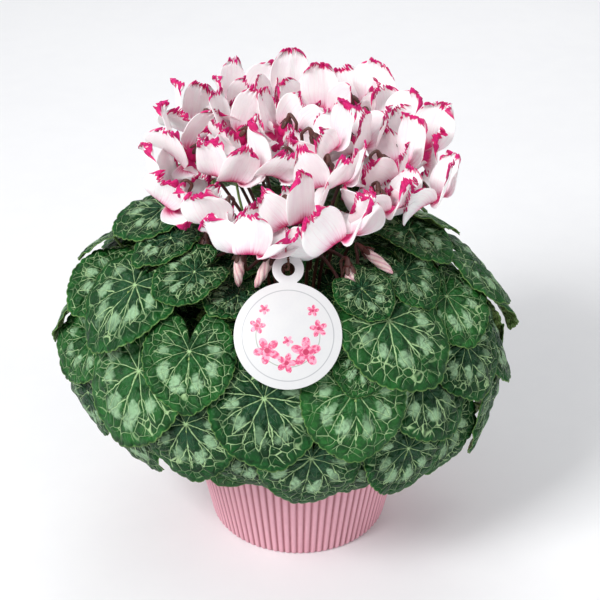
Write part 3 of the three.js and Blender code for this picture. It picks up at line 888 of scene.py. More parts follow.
@dataclass(frozen=True)
class CardFinish:
    """White coated card printed with a thin grey ring and a wreath of small pink blossoms."""

    # Place to the right, place up and width of each blossom, in millimetres
    blossoms: tuple[tuple[float, float, float], ...] = (
        (-15, -11, 20), (-1, -20, 15), (13, -12, 22), (22, 5, 13),
        (-22, 7, 12), (18, 18, 9), (-17, 19, 8), (0, -4, 8),
    )
    ring: float = 33
    stem_ring: float = 23
    white: str = "#d0d0d0"
    cloud: str = "#c9c9cc"
    ring_ink: str = "#8b8d92"
    stem_ink: str = "#7c8a70"
    deep_ink: str = "#cf4a76"
    pale_ink: str = "#f09db4"
    eye_ink: str = "#b8325a"

    def material(self) -> Material:
        """Makes the material.

        Returns:
            The material.
        """
        nodes = Surface("tag_card", Roughness=0.4)
        at = nodes.attribute(Mark.PRINT)
        x, y, front = nodes.split(at)
        reach = nodes.math("SQRT", x * x + y * y)
        ring = self.line(reach, self.ring, 0.35)
        stem = self.line(reach, self.stem_ring, 0.3) * y.fade(4, 11)
        colour, height = nodes.mottled(self.white, self.cloud, 90, 0.5)
        colour = nodes.mix(ring * front * 0.6, colour, self.ring_ink)
        colour = nodes.mix(stem * front * 0.7, colour, self.stem_ink)
        ink = nodes.mix(nodes.noise(at, 0.5, 2).step(0.4, 0.6), self.deep_ink, self.pale_ink)
        for right, up, size in self.blossoms:
            petals, eye = self.blossom(nodes, nodes.vector("SUBTRACT", at, (right, up, 0)), size)
            colour = nodes.mix(petals * front, colour, ink)
            colour = nodes.mix(eye * front, colour, self.eye_ink)
        return nodes.finished(Base_Color=colour, Normal=nodes.bump(height, 0.00005))

    def line(self, reach: Value, radius: float, half: float) -> Value:
        """Returns the mask of a printed circle, from the distance out, its radius and half its width."""
        return abs(reach - radius).fade(half * 0.6, half * 1.4)

    def blossom(self, nodes: Nodes, at: Value, size: float) -> tuple[Value, Value]:
        """Masks a five-petalled blossom.

        Args:
            nodes: The material's nodes.
            at: The place, from the middle of the blossom.
            size: Its width.

        Returns:
            The masks of the blossom and of its eye.
        """
        x, y, _ = nodes.split(at)
        reach = nodes.math("SQRT", x * x + y * y)
        lobes = abs(nodes.math("COSINE", nodes.math("ARCTAN2", x, y) * 2.5 + size))
        petals = nodes.math("LESS_THAN", reach, lobes * (0.3 * size) + 0.2 * size)
        return petals, nodes.math("LESS_THAN", reach, 0.1 * size)


# The pot and the soil


@dataclass
class Pot:
    """The fluted pot with the soil in it."""

    height: float = 112
    foot_radius: float = 75
    taper: float = 0.2
    wall: float = 4.5
    floor: float = 5
    ribs: int = 88
    rib_depth: float = 1.4
    rib_steps: int = 8
    gap: float = 0.3
    soil_rings: int = 34
    soil_steps: int = 96
    crumb: float = 0.9
    highest_crumb: float = 2.5
    crumb_seed: int = 11

    def build(self) -> list[Object]:
        """Builds and dresses the pot and its soil, and returns them."""
        return [self.build_pot(), self.build_soil()]

    def wall_radius(self, z: Array) -> Array:
        """Returns the radius of the wall, halfway up its flutes, at a height."""
        return self.foot_radius + self.taper * z

    def build_pot(self) -> Object:
        """Builds the pot: one turned wall whose outside is fluted, its grooves marked for their painted
        shade.

        Returns:
            The pot.
        """
        steps = self.ribs * self.rib_steps
        flute = np.abs(np.cos(self.ribs / 2 * around(steps))) ** 1.1
        # Height, share of the flutes' depth and distance inwards of each ring of the outside
        outside = [(0, 0.3, 1.6), (0.5, 0.7, 0.7), (1.4, 1, 0.15)]
        outside += [(z, 1, 0) for z in np.linspace(4, self.height - 4, 9)]
        outside += [(self.height - 1.4, 1, 0.1), (self.height - 0.5, 0.6, 0.5), (self.height, 0.15, 1.3)]
        # Height and distance outwards of each ring of the inside
        inside = [(self.height, 1.2), (self.height - 0.6, 0.3), (self.height - 3, 0)]
        inside += [(60, 0), (self.floor, 0)]
        rings = [(0.0, 0 * flute, 0 * flute)]
        for z, share, inwards in outside:
            radius = self.wall_radius(z) - inwards + share * self.rib_depth * (flute - 0.5)
            # The third value marks the painted groove shade: 0 at the bottom of a groove, 1 on a ridge.
            rings.append((z, radius, 1 - share * (1 - flute)))
        for z, outwards in inside:
            rings.append((z, 0 * flute + self.wall_radius(z) - self.wall + outwards, 0 * flute + 1))
        rings.append((self.floor, 0 * flute, 0 * flute + 1))
        heights, radii, groove_shade_masks = (np.array(column, float) for column in zip(*rings))
        turn = math.pi * 0.5 / self.ribs - math.pi / 2
        side = np.array([math.cos(turn), math.sin(turn), 0.0])
        body = revolved(heights, radii, np.zeros(3), UP, side)
        flutes = np.ones_like(body[0])
        flutes[1:-1, 0] = groove_shade_masks[1:-1].ravel()
        mould = Mould("pot_fluted", Mark.FLUTE)
        mould.add(body, {Mark.FLUTE: flutes})
        return mould.piece([PotFinish().material()], Slot.POT, "pot")

    def build_soil(self) -> Object:
        """Builds the soil: its top crumbled by draws, its side against the pot.

        Returns:
            The soil.
        """
        rings, steps = self.soil_rings, self.soil_steps
        top, bottom = (self.wall_radius(z) - self.wall - self.gap for z in (SOIL_TOP, self.floor))
        heights = np.array([self.floor + self.gap] * 2 + [SOIL_TOP] * (rings + 1))
        radii = np.concatenate([[0, bottom], top * np.linspace(1, 0.03, rings), [0]])
        radii = radii[:, None] * np.ones(steps)
        points, faces = revolved(heights, radii, np.zeros(3), UP, np.array([1.0, 0, 0]))
        crumbs = np.random.default_rng(self.crumb_seed).normal(0, self.crumb, (rings, steps))
        crumbs = (crumbs + np.roll(crumbs, 1, 1) + np.roll(crumbs, 1, 0)) / 1.6
        crumbs[0] = 0
        points[1 + steps : -1, 2] += np.clip(crumbs, -self.highest_crumb, self.highest_crumb).ravel()
        mould = Mould("soil_crumbled")
        mould.add((points, faces))
        finish = PlainFinish(
            "soil_dark", "#33261e", "#120c08", scale=260, amount=0.9, roughness=0.95, grain=0.001
        )
        return mould.piece([finish.material()], Slot.SOIL, "soil")


# Leaves


@dataclass
class Dome:
    """The dome that the leaves lie on.

    Azimuth runs from the front towards the right, and rise from 0 at the skirt to 1 at the top.
    """

    x: float = -8
    depth: float = 0.84
    heights: tuple[float, ...] = (86, 110, 140, 170, 200, 227, 250, 268, 281, 288)
    radii: tuple[float, ...] = (143, 160, 172, 176, 170, 155, 135, 111, 85, 58)
    front_dip: float = 60
    middle_height: float = 120

    def along(self, values: tuple[float, ...], rise: float) -> float:
        """Reads a profile of the dome.

        Args:
            values: Its values, evenly spaced from the skirt to the top.
            rise: The rise.

        Returns:
            Its value there.
        """
        place = min(max(rise, 0.0), 1.0) * (len(values) - 1)
        low = min(math.floor(place), len(values) - 2)
        return lerp(values[low], values[low + 1], place - low)

    def point(self, azimuth: float, rise: float) -> Array:
        """Finds a point of the dome.

        Args:
            azimuth: Its azimuth in radians.
            rise: Its rise.

        Returns:
            The point.
        """
        radius = self.along(self.radii, rise)
        dip = self.front_dip * max(0.0, math.cos(azimuth)) * max(0.0, rise - 0.45)
        x = self.x + radius * math.sin(azimuth)
        y = -self.depth * radius * math.cos(azimuth)
        return np.array([x, y, self.along(self.heights, rise) - dip])


DOME = Dome()

# Azimuth and rise of the middle of each blade, its length, and how far its tip turns aside
LEAVES = [
    (-8, 0.26, 68, 12), (16, 0.23, 66, 6), (42, 0.25, 68, -20), (-45, 0.22, 70, 6), (88, 0.2, 74, 8),
    (148, 0.2, 84, 6), (-150, 0.2, 84, 12), (-92, 0.22, 76, 4),
    (5, 0.25, 78, -8), (29, 0.24, 68, -14), (-24, 0.33, 76, 10), (-66, 0.25, 66, -8), (64, 0.22, 72, -6),
    (118, 0.22, 80, -10), (178, 0.22, 82, -4), (-120, 0.22, 80, -8),
    (-68, 0.43, 66, -16), (-5, 0.42, 84, 8), (38, 0.42, 80, 16), (73, 0.42, 74, 10), (133, 0.42, 82, 8),
    (-160, 0.42, 84, 6), (-108, 0.42, 78, 14),
    (-41, 0.42, 94, -10), (16, 0.43, 80, -6), (53, 0.46, 66, -12), (102, 0.44, 80, -6), (166, 0.44, 84, -12),
    (-134, 0.44, 80, -6), (-86, 0.45, 68, -14),
    (-74, 0.6, 66, 18), (-26, 0.53, 70, 20), (19, 0.55, 46, -30), (57, 0.61, 66, -18), (112, 0.62, 76, -10),
    (177, 0.62, 78, -6), (-118, 0.63, 74, 8),
    (-54, 0.63, 88, -8), (31, 0.6, 88, 12), (80, 0.6, 70, 8), (145, 0.6, 78, 12), (-150, 0.6, 80, -12),
    (-96, 0.64, 64, -10), (-21, 0.74, 46, -20),
    (-116, 0.83, 76, -6), (-38, 0.76, 54, -26), (47, 0.75, 52, -6), (66, 0.81, 60, -10), (92, 0.83, 72, -10),
    (157, 0.76, 74, -8), (-153, 0.79, 72, 10), (-59, 0.81, 54, 8),
    (-85, 0.82, 66, 8), (27, 0.74, 44, 20), (127, 0.82, 74, 10),
]


def blade_reach(angle: Array) -> Array:
    """Measures a blade from its stem's joint to its edge.

    Args:
        angle: The angles from its tip.

    Returns:
        The distances, as shares of its length.
    """
    from_notch = math.pi - np.abs(angle)
    lobes = 0.53 + 0.06 * np.cos(angle) + 0.03 * np.cos(2 * angle)
    tip = 0.05 * np.exp(-((angle / 0.25) ** 2))
    return lobes + tip - 0.4 * np.exp(-((from_notch / 0.28) ** 2))


class Leaf:
    """A blade with its own frame on the dome and the bends that it has."""

    # Share of the length from the joint to the middle of the blade
    joint_reach = 0.14

    def __init__(self, row: tuple[float, float, float, float], index: int) -> None:
        """Sets the leaf on the dome.

        Args:
            row: The azimuth, rise, length and turn of the leaf.
            index: Its number, which seeds its draws.
        """
        draw = Draws(index)
        azimuth, rise, self.length, turn = row
        self.index = index
        self.azimuth = math.radians(azimuth)
        self.middle = DOME.point(self.azimuth, rise)
        self.joint = self.middle
        up = unit(DOME.point(self.azimuth, rise + 0.02) - DOME.point(self.azimuth, rise - 0.02))
        right = unit(DOME.point(self.azimuth + 0.02, rise) - DOME.point(self.azimuth - 0.02, rise))
        self.out = unit(np.cross(right, up))
        self.tip = turned(-up, self.out, math.radians(turn) + math.radians(draw.between(-6, 6)))
        self.side = np.cross(self.out, self.tip)
        self.pitch = draw.between(2, 14)
        self.roll = draw.between(-10, 10)
        self.curl = draw.between(0.0042, 0.0068)
        self.fold = draw.between(-0.06, 0.14)
        self.waves = draw.between(0.012, 0.03) * self.length
        self.phase = draw.between(0, 2 * math.pi)
        self.tip_curl = draw.between(0.02, 0.16)

    def tilted(self, pitch: float, roll: float) -> "Leaf":
        """Tilts a copy of the leaf about the middle of its blade.

        Args:
            pitch: How far its tip is raised, in degrees.
            roll: How far one side is lowered, in degrees.

        Returns:
            The tilted leaf.
        """
        leaf = copy(self)
        for name in ("side", "tip", "out"):
            rolled = turned(getattr(self, name), self.tip, math.radians(roll))
            setattr(leaf, name, turned(rolled, self.side, math.radians(-pitch)))
        leaf.joint = self.middle - self.joint_reach * self.length * leaf.tip
        return leaf

    def point(self, angle: Array, share: Array, relief: Array | float = 0.0) -> Array:
        """Finds points of the blade.

        Args:
            angle: The angles from its tip, seen from its joint.
            share: The shares of the way out to its edge.
            relief: How far the surface is raised.

        Returns:
            The points.
        """
        reach = self.length * blade_reach(angle) * share
        u, v = reach * np.sin(angle), reach * np.cos(angle)
        droop = -0.5 * self.curl * (u * u + v * v) - self.tip_curl * np.maximum(0, v - 0.3 * self.length)
        ruffle = self.waves * share * share * np.sin(3 * angle + self.phase)
        height = droop + ruffle + self.fold * np.abs(u) + relief
        return self.joint + outer(u, self.side) + outer(v, self.tip) + outer(height, self.out)

    def samples(self, rings: int) -> Array:
        """Spreads points over the blade.

        Args:
            rings: The number of rings that they lie on.

        Returns:
            The points.
        """
        steps = 5 * rings
        ring, step = np.meshgrid(np.arange(1, rings + 1), np.arange(steps), indexing="ij")
        return self.point((2 * step / steps - 1) * math.pi, ring / rings).reshape(-1, 3)


class LaidBlades:
    """How far out the blades laid so far reach, seen from a point inside the dome, by direction."""

    # Degrees to a cell of directions, thickness of a blade with its relief, and the air above it
    cell = 1.5
    blade = 0.9
    gap = 1.2

    def __init__(self) -> None:
        """Starts with no blades laid."""
        self.reach = np.zeros((round(360 / self.cell), round(180 / self.cell) + 1))

    def look(self, points: Array) -> tuple[tuple[Array, Array], Array]:
        """Looks at points from inside the dome.

        Args:
            points: The points.

        Returns:
            The cells that they lie in, and their distances.
        """
        x = points[:, 0] - DOME.x
        y = points[:, 1] / DOME.depth
        z = points[:, 2] - DOME.middle_height
        flat = np.hypot(x, y)
        column = np.floor(np.degrees(np.arctan2(x, -y)) / self.cell).astype(int) % self.reach.shape[0]
        row = np.floor(np.degrees(np.arctan2(z, flat)) / self.cell).astype(int) + self.reach.shape[1] // 2
        return (column, row), np.hypot(flat, z)

    def lift(self, points: Array) -> float:
        """Returns how far the points have to move out to lie clear on the blades laid so far."""
        cells, distance = self.look(points)
        return float(np.max(self.reach[cells] - distance)) + (self.blade + self.gap)

    def add(self, points: Array) -> None:
        """Adds a blade's points."""
        cells, distance = self.look(points)
        np.maximum.at(self.reach, cells, distance)


# Tilts in degrees that are tried for each blade, and what a degree away from its own tilt costs in lift
PITCHES = range(-6, 31, 6)
ROLLS = range(-24, 25, 8)
TILT_COST = 0.12


def settled(leaves: list[Leaf]) -> list[Leaf]:
    """Turns each blade to where it needs the least lift, then moves it out onto the ones below it.

    Args:
        leaves: The leaves, in the order that they are laid.

    Returns:
        The leaves where they lie.
    """
    laid = LaidBlades()
    placed = []
    for leaf in leaves:
        best, least = leaf, math.inf
        for pitch in PITCHES:
            for roll in ROLLS:
                trial = leaf.tilted(pitch, roll)
                cost = max(0.0, laid.lift(trial.samples(8)))
                cost += TILT_COST * math.hypot(pitch - leaf.pitch, roll - leaf.roll)
                if cost < least:
                    best, least = trial, cost
        for _ in range(40):
            short = laid.lift(best.samples(14))
            if short <= 0.01:
                break
            best.joint = best.joint + best.out * max(0.2, 0.8 * short)
        laid.add(best.samples(20))
        placed.append(best)
    return placed


@dataclass
class BladeShape:
    """The fine shape of a blade: teeth, sunken veins and the puffed skin between them."""

    sectors: int = 156
    rings: int = 9
    thickness: float = 0.6
    teeth: int = 39
    tooth: float = 0.024
    vein_spacing: float = math.radians(38)
    vein_depth: float = 0.5
    vein_width: float = 1.1
    puff: float = 1.4
    arch: float = 0.35

    def shell_of(self, leaf: Leaf) -> tuple[Body, Marks]:
        """Builds a blade.

        Args:
            leaf: The leaf.

        Returns:
            The closed shell, and its marks.
        """
        shares = np.linspace(0.03, 1.0, self.rings)
        share, angle = np.meshgrid(shares, around(self.sectors) - math.pi, indexing="ij")
        draw = Draws(300 + leaf.index)
        first, second, tone = draw.between(0, 6), draw.between(0, 6), draw.between(0, 1)
        spacing = np.abs(angle) / self.vein_spacing + self.arch * share * share * np.sin(np.abs(angle))
        reach = leaf.length * blade_reach(angle) * share
        u, v = reach * np.sin(angle), reach * np.cos(angle)
        relief = self.cushions(spacing, share, reach)
        relief += self.swells(u, v, first, second)
        relief += self.margin_waves(angle, share, first, second)
        notched = np.abs(np.sin(self.teeth / 2 * angle)) ** 0.7 - 0.6
        stretch = 1 + self.tooth * smooth(0.8, 1.0, share) * notched
        points = leaf.point(angle, share * stretch, relief).reshape(-1, 3)
        points = np.concatenate([points, [leaf.point(np.array(0.0), np.array(0.0))]])
        here = np.arange(self.sectors)
        fan = np.stack([0 * here + len(points) - 1, here, (here + 1) % self.sectors], 1)
        faces = np.concatenate([grid_faces(self.rings, self.sectors, closed=True)[:, ::-1], fan])
        blade = np.stack([spacing, share, 0 * share + tone], -1).reshape(-1, 3)
        blade = np.tile(np.concatenate([blade, [[0, 0, tone]]]), (2, 1))
        plane = np.stack([u, v], -1).reshape(-1, 2) / leaf.length
        plane = np.tile(np.concatenate([plane, [[0, 0]]]), (2, 1))
        upper = np.repeat([1.0, 0.0], len(points))[:, None]
        marks = {Mark.BLADE: blade, Mark.BLADE_PLANE: np.hstack([plane, upper])}
        return shell(points, faces, self.thickness), marks

    def cushions(self, spacing: Array, share: Array, reach: Array) -> Array:
        """Puffs the skin between the veins and sinks the veins.

        Args:
            spacing: The angles from the tip, in spacings of the veins.
            share: The shares of the way out.
            reach: The distances from the joint.

        Returns:
            How far the skin is raised.
        """
        offset = np.abs(spacing - np.round(spacing))
        vein = np.exp(-((reach * offset * self.vein_spacing / self.vein_width) ** 2))
        puffed = self.puff * (1 - np.cos(2 * math.pi * offset)) / 2 * 4 * share * (1 - share)
        return puffed - self.vein_depth * vein

    def swells(self, u: Array, v: Array, first: float, second: float) -> Array:
        """Returns the height of soft swells, at places across and along the blade, with two shifts."""
        long = 0.6 * np.sin(0.2 * u + first) * np.sin(0.17 * v + second)
        return long + 0.3 * np.sin(0.5 * u + second) * np.sin(0.46 * v + first)

    def margin_waves(self, angle: Array, share: Array, first: float, second: float) -> Array:
        """Returns the height of the waves of the margin, 5, 9 and 17 to the round, with two shifts."""
        wide = 0.5 * share**3 * np.sin(5 * angle + second)
        return wide + share**4 * (0.7 * np.sin(9 * angle + first) + 0.5 * np.sin(17 * angle + second))


@dataclass
class Foliage:
    """The dome of leaves, a clump of two or three from each stub."""

    clumps: int = 26
    stem_ring: float = 46
    stem_spacing: float = 2.8
    stem_radius: float = 1.3
    stem_end_radius: float = 1.1
    stem_rise: float = 66
    stem_hook: float = 34
    # Height above the soil and radius of each ring of a stub
    stub: Profile = ((-11.7, 4.2), (-4, 4.4), (1.5, 4.1), (3.4, 3.4), (4.2, 2.2))
    blade: BladeShape = field(default_factory=BladeShape)
    inner_blade: BladeShape = field(default_factory=lambda: BladeShape(sectors=48, rings=4, teeth=12))
    # Rise of each layer of small inner leaves, and how far out they lie as a share of the dome
    inner_layers: Profile = ((1.0, 0.5), (0.95, 0.8), (0.6, 0.8), (0.3, 0.85), (0.45, 0.88))

    def build(self) -> list[Object]:
        """Builds and dresses every clump.

        Returns:
            The clumps.
        """
        leaves = settled([Leaf(row, index) for index, row in enumerate(LEAVES)])
        leaves.sort(key=lambda leaf: leaf.azimuth)
        members: list[list[Leaf]] = [[] for _ in range(self.clumps)]
        for i, leaf in enumerate(leaves):
            members[i * self.clumps // len(leaves)].append(leaf)
        stem = PlainFinish("leaf_stem", "#6d4a3c", "#4f3b2a", scale=120, amount=0.8, roughness=0.55)
        materials = [LeafFinish().material(), stem.material()]
        return [self.build_clump(i, clump, materials) for i, clump in enumerate(members)]

    def inner_leaves(self, index: int, azimuth: float) -> list[Leaf]:
        """Sets the small leaves that a clump has inside the dome, which fill its shade.

        Args:
            index: The clump's number.
            azimuth: Its azimuth in radians.

        Returns:
            The leaves.
        """
        draw = Draws(900 + index)
        leaves = []
        for layer, (rise, scale) in enumerate(self.inner_layers):
            turn = math.degrees(azimuth) + draw.between(-9, 9)
            risen = min(rise + draw.between(-0.08, 0.08), 0.97)
            row = (turn, risen, draw.between(54, 66), draw.between(-30, 30))
            leaf = Leaf(row, 100 + 5 * index + layer)
            leaf.middle = leaf.middle * scale + SOIL_TOP * (1 - scale) * UP
            leaves.append(leaf.tilted(draw.between(-10, 25), draw.between(-20, 20)))
        return leaves

    def build_clump(self, index: int, members: list[Leaf], materials: list[Material]) -> Object:
        """Builds one clump.

        Args:
            index: Its number round the plant.
            members: Its leaves.
            materials: The materials of blades and stems.

        Returns:
            The clump.
        """
        even = (index + 0.5) / self.clumps * 2 * math.pi - math.pi
        azimuth = lerp(even, sum(leaf.azimuth for leaf in members) / len(members), 0.15)
        base = self.stem_ring * heading(azimuth) + SOIL_TOP * UP
        aside = heading(azimuth + math.pi / 2)
        mould = Mould(f"leaf_clump_{index + 1:02d}", Mark.BLADE, Mark.BLADE_PLANE)
        heights, radii = np.array(self.stub).T
        mould.add(rod(base + outer(heights, UP), radii, 12), finish=1)
        for i, leaf in enumerate(members):
            foot = base + aside * (i - (len(members) - 1) / 2) * self.stem_spacing + UP
            self.add_leaf(mould, leaf, self.blade, foot, 8)
        for i, leaf in enumerate(self.inner_leaves(index, azimuth)):
            foot = base + aside * (i - 0.5) * self.stem_spacing + UP
            self.add_leaf(mould, leaf, self.inner_blade, foot, 5)
        return mould.piece(materials, Slot.LEAF, f"leaves_{index + 1:02d}")

    def add_leaf(self, mould: Mould, leaf: Leaf, blade: BladeShape, foot: Array, sides: int) -> None:
        """Adds a leaf and its stem to the clump in the making.

        Args:
            mould: The clump.
            leaf: The leaf.
            blade: The fine shape of its blade.
            foot: The foot of its stem.
            sides: The number of its stem's sides.
        """
        mould.add(*blade.shell_of(leaf))
        end = leaf.point(np.array(0.0), np.array(0.13))
        knots = np.array([foot, foot + self.stem_rise * UP, end - self.stem_hook * leaf.out, end])
        line = bezier(knots, 2 * sides)
        radii = np.linspace(self.stem_radius, self.stem_end_radius, len(line))
        mould.add(rod(line, radii, sides), finish=1)


# Flowers


class Bloom:
    """A nodding bloom: its place in the head and its own frame."""

    count = 24
    head_radius = 106
    head_top = 348
    head_edge = 125
    head_drop = 22
    head_lean = 0.12
    overlap = 7
    golden_angle = 137.5
    first_azimuth = 60

    def __init__(self, index: int) -> None:
        """Sets the bloom in the head.

        Args:
            index: Its number, counted from the middle outwards.
        """
        draw = Draws(500 + index)
        radius = self.head_radius * math.sqrt((index + 0.5) / self.count) + draw.between(-3, 3)
        azimuth = math.radians(self.golden_angle * index + self.first_azimuth)
        drop = self.head_drop * (radius / self.head_radius) ** 2
        flat = radius * heading(azimuth)
        self.index = index
        height = self.head_top - drop + self.head_lean * flat[1] + draw.between(-5, 5)
        self.centre = flat + height * UP
        self.outward = heading(azimuth + math.radians(draw.between(-38, 38)))
        nod = math.radians(draw.between(50, 74))
        self.mouth = self.outward * math.cos(nod) - UP * math.sin(nod)
        self.origin = self.centre + 5 * self.outward - 8 * UP
        self.spin = math.radians(draw.between(-7, 7))
        self.twist = math.radians(draw.between(27, 35))
        self.sweep = draw.between(130, 144)
        self.side = -np.cross(self.outward, UP)
        self.top = np.cross(self.mouth, self.side)

    def kept_in(self, points: Array, others: Array) -> Array:
        """Keeps points inside the bloom's own cell of the head, seen from above.

        Args:
            points: The points.
            others: The centres of the other blooms.

        Returns:
            The points, those past the cell drawn in.
        """
        offset = (points - self.centre)[:, :2]
        reach = np.maximum(np.linalg.norm(offset, axis=1), 1e-6)
        direction = offset / reach[:, None]
        apart = (others - self.centre)[:, :2]
        distance = np.linalg.norm(apart, axis=1)
        towards = direction @ (apart / distance[:, None]).T
        walls = (distance / 2 + self.overlap) / np.maximum(towards, 1e-6)
        walls = np.where(towards > 1e-6, walls, np.inf).min(axis=1)
        along = direction @ self.centre[:2]
        edge = -along + np.sqrt(along * along + self.head_edge**2 - self.centre[:2] @ self.centre[:2])
        limit = np.minimum(walls, edge)
        share = reach / limit
        kept = np.where(share > 0.7, limit * (0.7 + 0.3 * np.tanh((share - 0.7) / 0.3)), reach)
        moved = points.copy()
        moved[:, :2] += direction * (kept - reach)[:, None]
        return moved


@dataclass
class PetalShape:
    """The fine shape of the petals: a swept-back blade with a crinkled frill along its tip."""

    length: float = 44
    half_width: float = 18.8
    turns: tuple[float, ...] = (0, 64, 127, -127, -64)
    foot: float = math.radians(26)
    mouth_radius: float = 5.5
    thickness: float = 0.5
    columns: int = 41
    rows: int = 18
    frill: float = 3.7
    curl: float = 3.4
    folds: int = 21
    crease: float = 2.1
    pieces: int = 48

    def shell_of(self, bloom: Bloom, petal: int, others: Array) -> tuple[Body, Marks]:
        """Builds a petal.

        Args:
            bloom: The bloom it belongs to.
            petal: Its number in the bloom.
            others: The centres of the other blooms.

        Returns:
            The closed shell, and its marks.
        """
        steps = 1 - (1 - np.linspace(0, 1, self.rows)) ** 1.5
        along, across = np.meshgrid(steps, np.linspace(1, -1, self.columns), indexing="ij")
        seed = 700 + 10 * bloom.index + petal
        turn = math.radians(self.turns[petal]) + bloom.spin
        points = self.sheet(bloom, turn, Draws(seed), along, across)
        angles = turn - across * self.foot
        root = bloom.origin - bloom.mouth + (self.mouth_radius - 0.3) * spokes(angles, bloom.top, bloom.side)
        joined = smooth(0, 0.14, along)[..., None]
        points = bloom.kept_in((root * (1 - joined) + points * joined).reshape(-1, 3), others)
        thickness = self.thickness * (1 - 0.4 * smooth(0.8, 1.0, along)).ravel()
        mark = np.stack([along, across, 0 * along + 0.37 * seed % 10], -1).reshape(-1, 3)
        marks = {Mark.PETAL: np.tile(mark, (2, 1))}
        return shell(points, grid_faces(self.rows, self.columns), thickness), marks

    def sheet(self, bloom: Bloom, turn: float, draw: Draws, along: Array, across: Array) -> Array:
        """Lays out a petal's middle surface.

        Args:
            bloom: The bloom it belongs to.
            turn: Its turn about the bloom's axis.
            draw: Its draws.
            along: The shares of the way from its foot to its tip.
            across: The shares of the way from its middle line to its sides.

        Returns:
            The points.
        """
        length = self.length * draw.between(0.9, 1.08)
        sweep = math.radians(bloom.sweep + draw.between(-20, 8))
        cup = draw.between(-0.014, 0.01)
        ruffle = draw.between(0.8, 1.6)
        phase = draw.between(0, 2 * math.pi)
        lean = draw.between(-7, 7)
        radial = bloom.top * math.cos(turn) + bloom.side * math.sin(turn)
        tangent = np.cross(bloom.mouth, radial)
        face = -radial * math.cos(sweep) + bloom.mouth * math.sin(sweep)
        jag = 0.026 * np.sin(9 * across + phase) + 0.03 * np.sin(self.folds * 1.7 * across + 2 * phase)
        reached = along * (1 - 0.07 * across**4 + smooth(0.8, 1.0, along) * jag)
        ahead, outward = self.run_out(reached, length, sweep)
        grown = np.sin(math.pi / 2 * np.minimum(1, along / 0.55))
        rounded = np.sqrt(1 - (np.maximum(0, along - 0.6) / 0.44) ** 2)
        w = across * self.half_width * (0.17 + 0.83 * grown) * rounded + lean * along * along
        spun = bloom.twist * np.minimum(1, 2.4 * along)
        lift = cup * w * w + ruffle * along * along * np.sin(4.2 * across + phase)
        lift += self.frill * smooth(0.82, 1.0, along) * np.sin(self.folds * across + phase + 6 * along)
        lift += self.curl * smooth(0.78, 1.0, along) * np.sin(2.6 * across + 2 * phase)
        lift -= self.crease * np.exp(-((across / 0.16) ** 2)) * along * (1 - along)
        points = bloom.origin + outer(ahead, bloom.mouth) + outer(outward, radial)
        return points + outer(w * np.cos(spun), tangent) + outer(w * np.sin(spun) + lift, face)

    def run_out(self, along: Array, length: float, sweep: float) -> tuple[Array, Array]:
        """Follows the petal's middle line, which turns back near its foot.

        Args:
            along: The shares of the way along it.
            length: Its length.
            sweep: The angle that it turns to.

        Returns:
            How far ahead of the mouth and how far out from the axis each place lies.
        """
        ahead = np.zeros_like(along)
        outward = np.full_like(along, self.mouth_radius)
        for piece in range(self.pieces):
            part = np.clip(along * self.pieces - piece, 0, 1) * length / self.pieces
            share = min(1.0, (piece + 0.5) / self.pieces / 0.32)
            angle = lerp(math.radians(50), sweep, share**2 * (3 - 2 * share))
            ahead += part * math.cos(angle)
            outward += part * math.sin(angle)
        return ahead, outward


@dataclass
class Stalk:
    """A stalk from the tuber that bends over at its top and ends in a calyx of five sepals."""

    end: Array
    facing: Array
    pointing: Array
    bend: float
    radius: float = 1.35
    neck_radius: float = 2.3
    calyx_radius: float = 3.4
    sepal_thickness: float = 0.45

    def knots(self) -> Array:
        """Lays out the stalk.

        Returns:
            The points of its middle line, with its radius at each as a fourth value.
        """
        calyx = self.end - 3.2 * self.pointing
        leg = self.end - self.bend * self.facing
        spread = math.hypot(leg[0], leg[1])
        out = np.array([leg[0], leg[1], 0.0]) / spread
        # The foot in the tuber, two places on the way up and out, and the top before the bend
        knots = np.array([
            (3 + 0.21 * spread) * out + (SOIL_TOP + 1) * UP,
            (4 + 0.28 * spread) * out + 205 * UP,
            (4 + 0.46 * spread) * out + 268 * UP,
            leg - 16 * UP,
            leg + 2 * UP,
        ])
        line = np.concatenate([through(knots, 2), [calyx - 4.5 * self.pointing, calyx, self.end]])
        radii = np.full(len(line), self.radius)
        radii[-2:] = self.neck_radius, self.calyx_radius - 0.5
        return np.hstack([line, radii[:, None]])

    def add_to(self, mould: Mould) -> None:
        """Adds the stalk and its sepals to a piece.

        Args:
            mould: The piece in the making.
        """
        line = through(self.knots(), 4)
        mould.add(rod(line[:, :3], line[:, 3], 8))
        side = unit(np.cross(self.pointing, UP) + 1e-6)
        for radial in spokes(np.radians(72 * np.arange(5) + 36), side, np.cross(self.pointing, side)):
            mould.add(self.sepal(radial), finish=1)

    def sepal(self, radial: Array) -> Body:
        """Makes one sepal, which hugs the foot of the flower.

        Args:
            radial: The unit vector from the stalk's axis to its side of the flower.

        Returns:
            The closed shell.
        """
        along, across = np.meshgrid(np.linspace(0, 1, 7), np.linspace(1, -1, 5), indexing="ij")
        reach = lerp(2.2, self.calyx_radius + 1.5, np.sqrt(along)) + 0.5 * along**3
        angle = across * 0.55 * (1.02 - along) ** 0.6 * (0.8 + along)
        around_calyx = spokes(angle, radial, np.cross(self.pointing, radial))
        points = self.end + outer(lerp(-2.2, 4.6, along), self.pointing) + reach[..., None] * around_calyx
        return shell(points.reshape(-1, 3), grid_faces(7, 5), self.sepal_thickness)


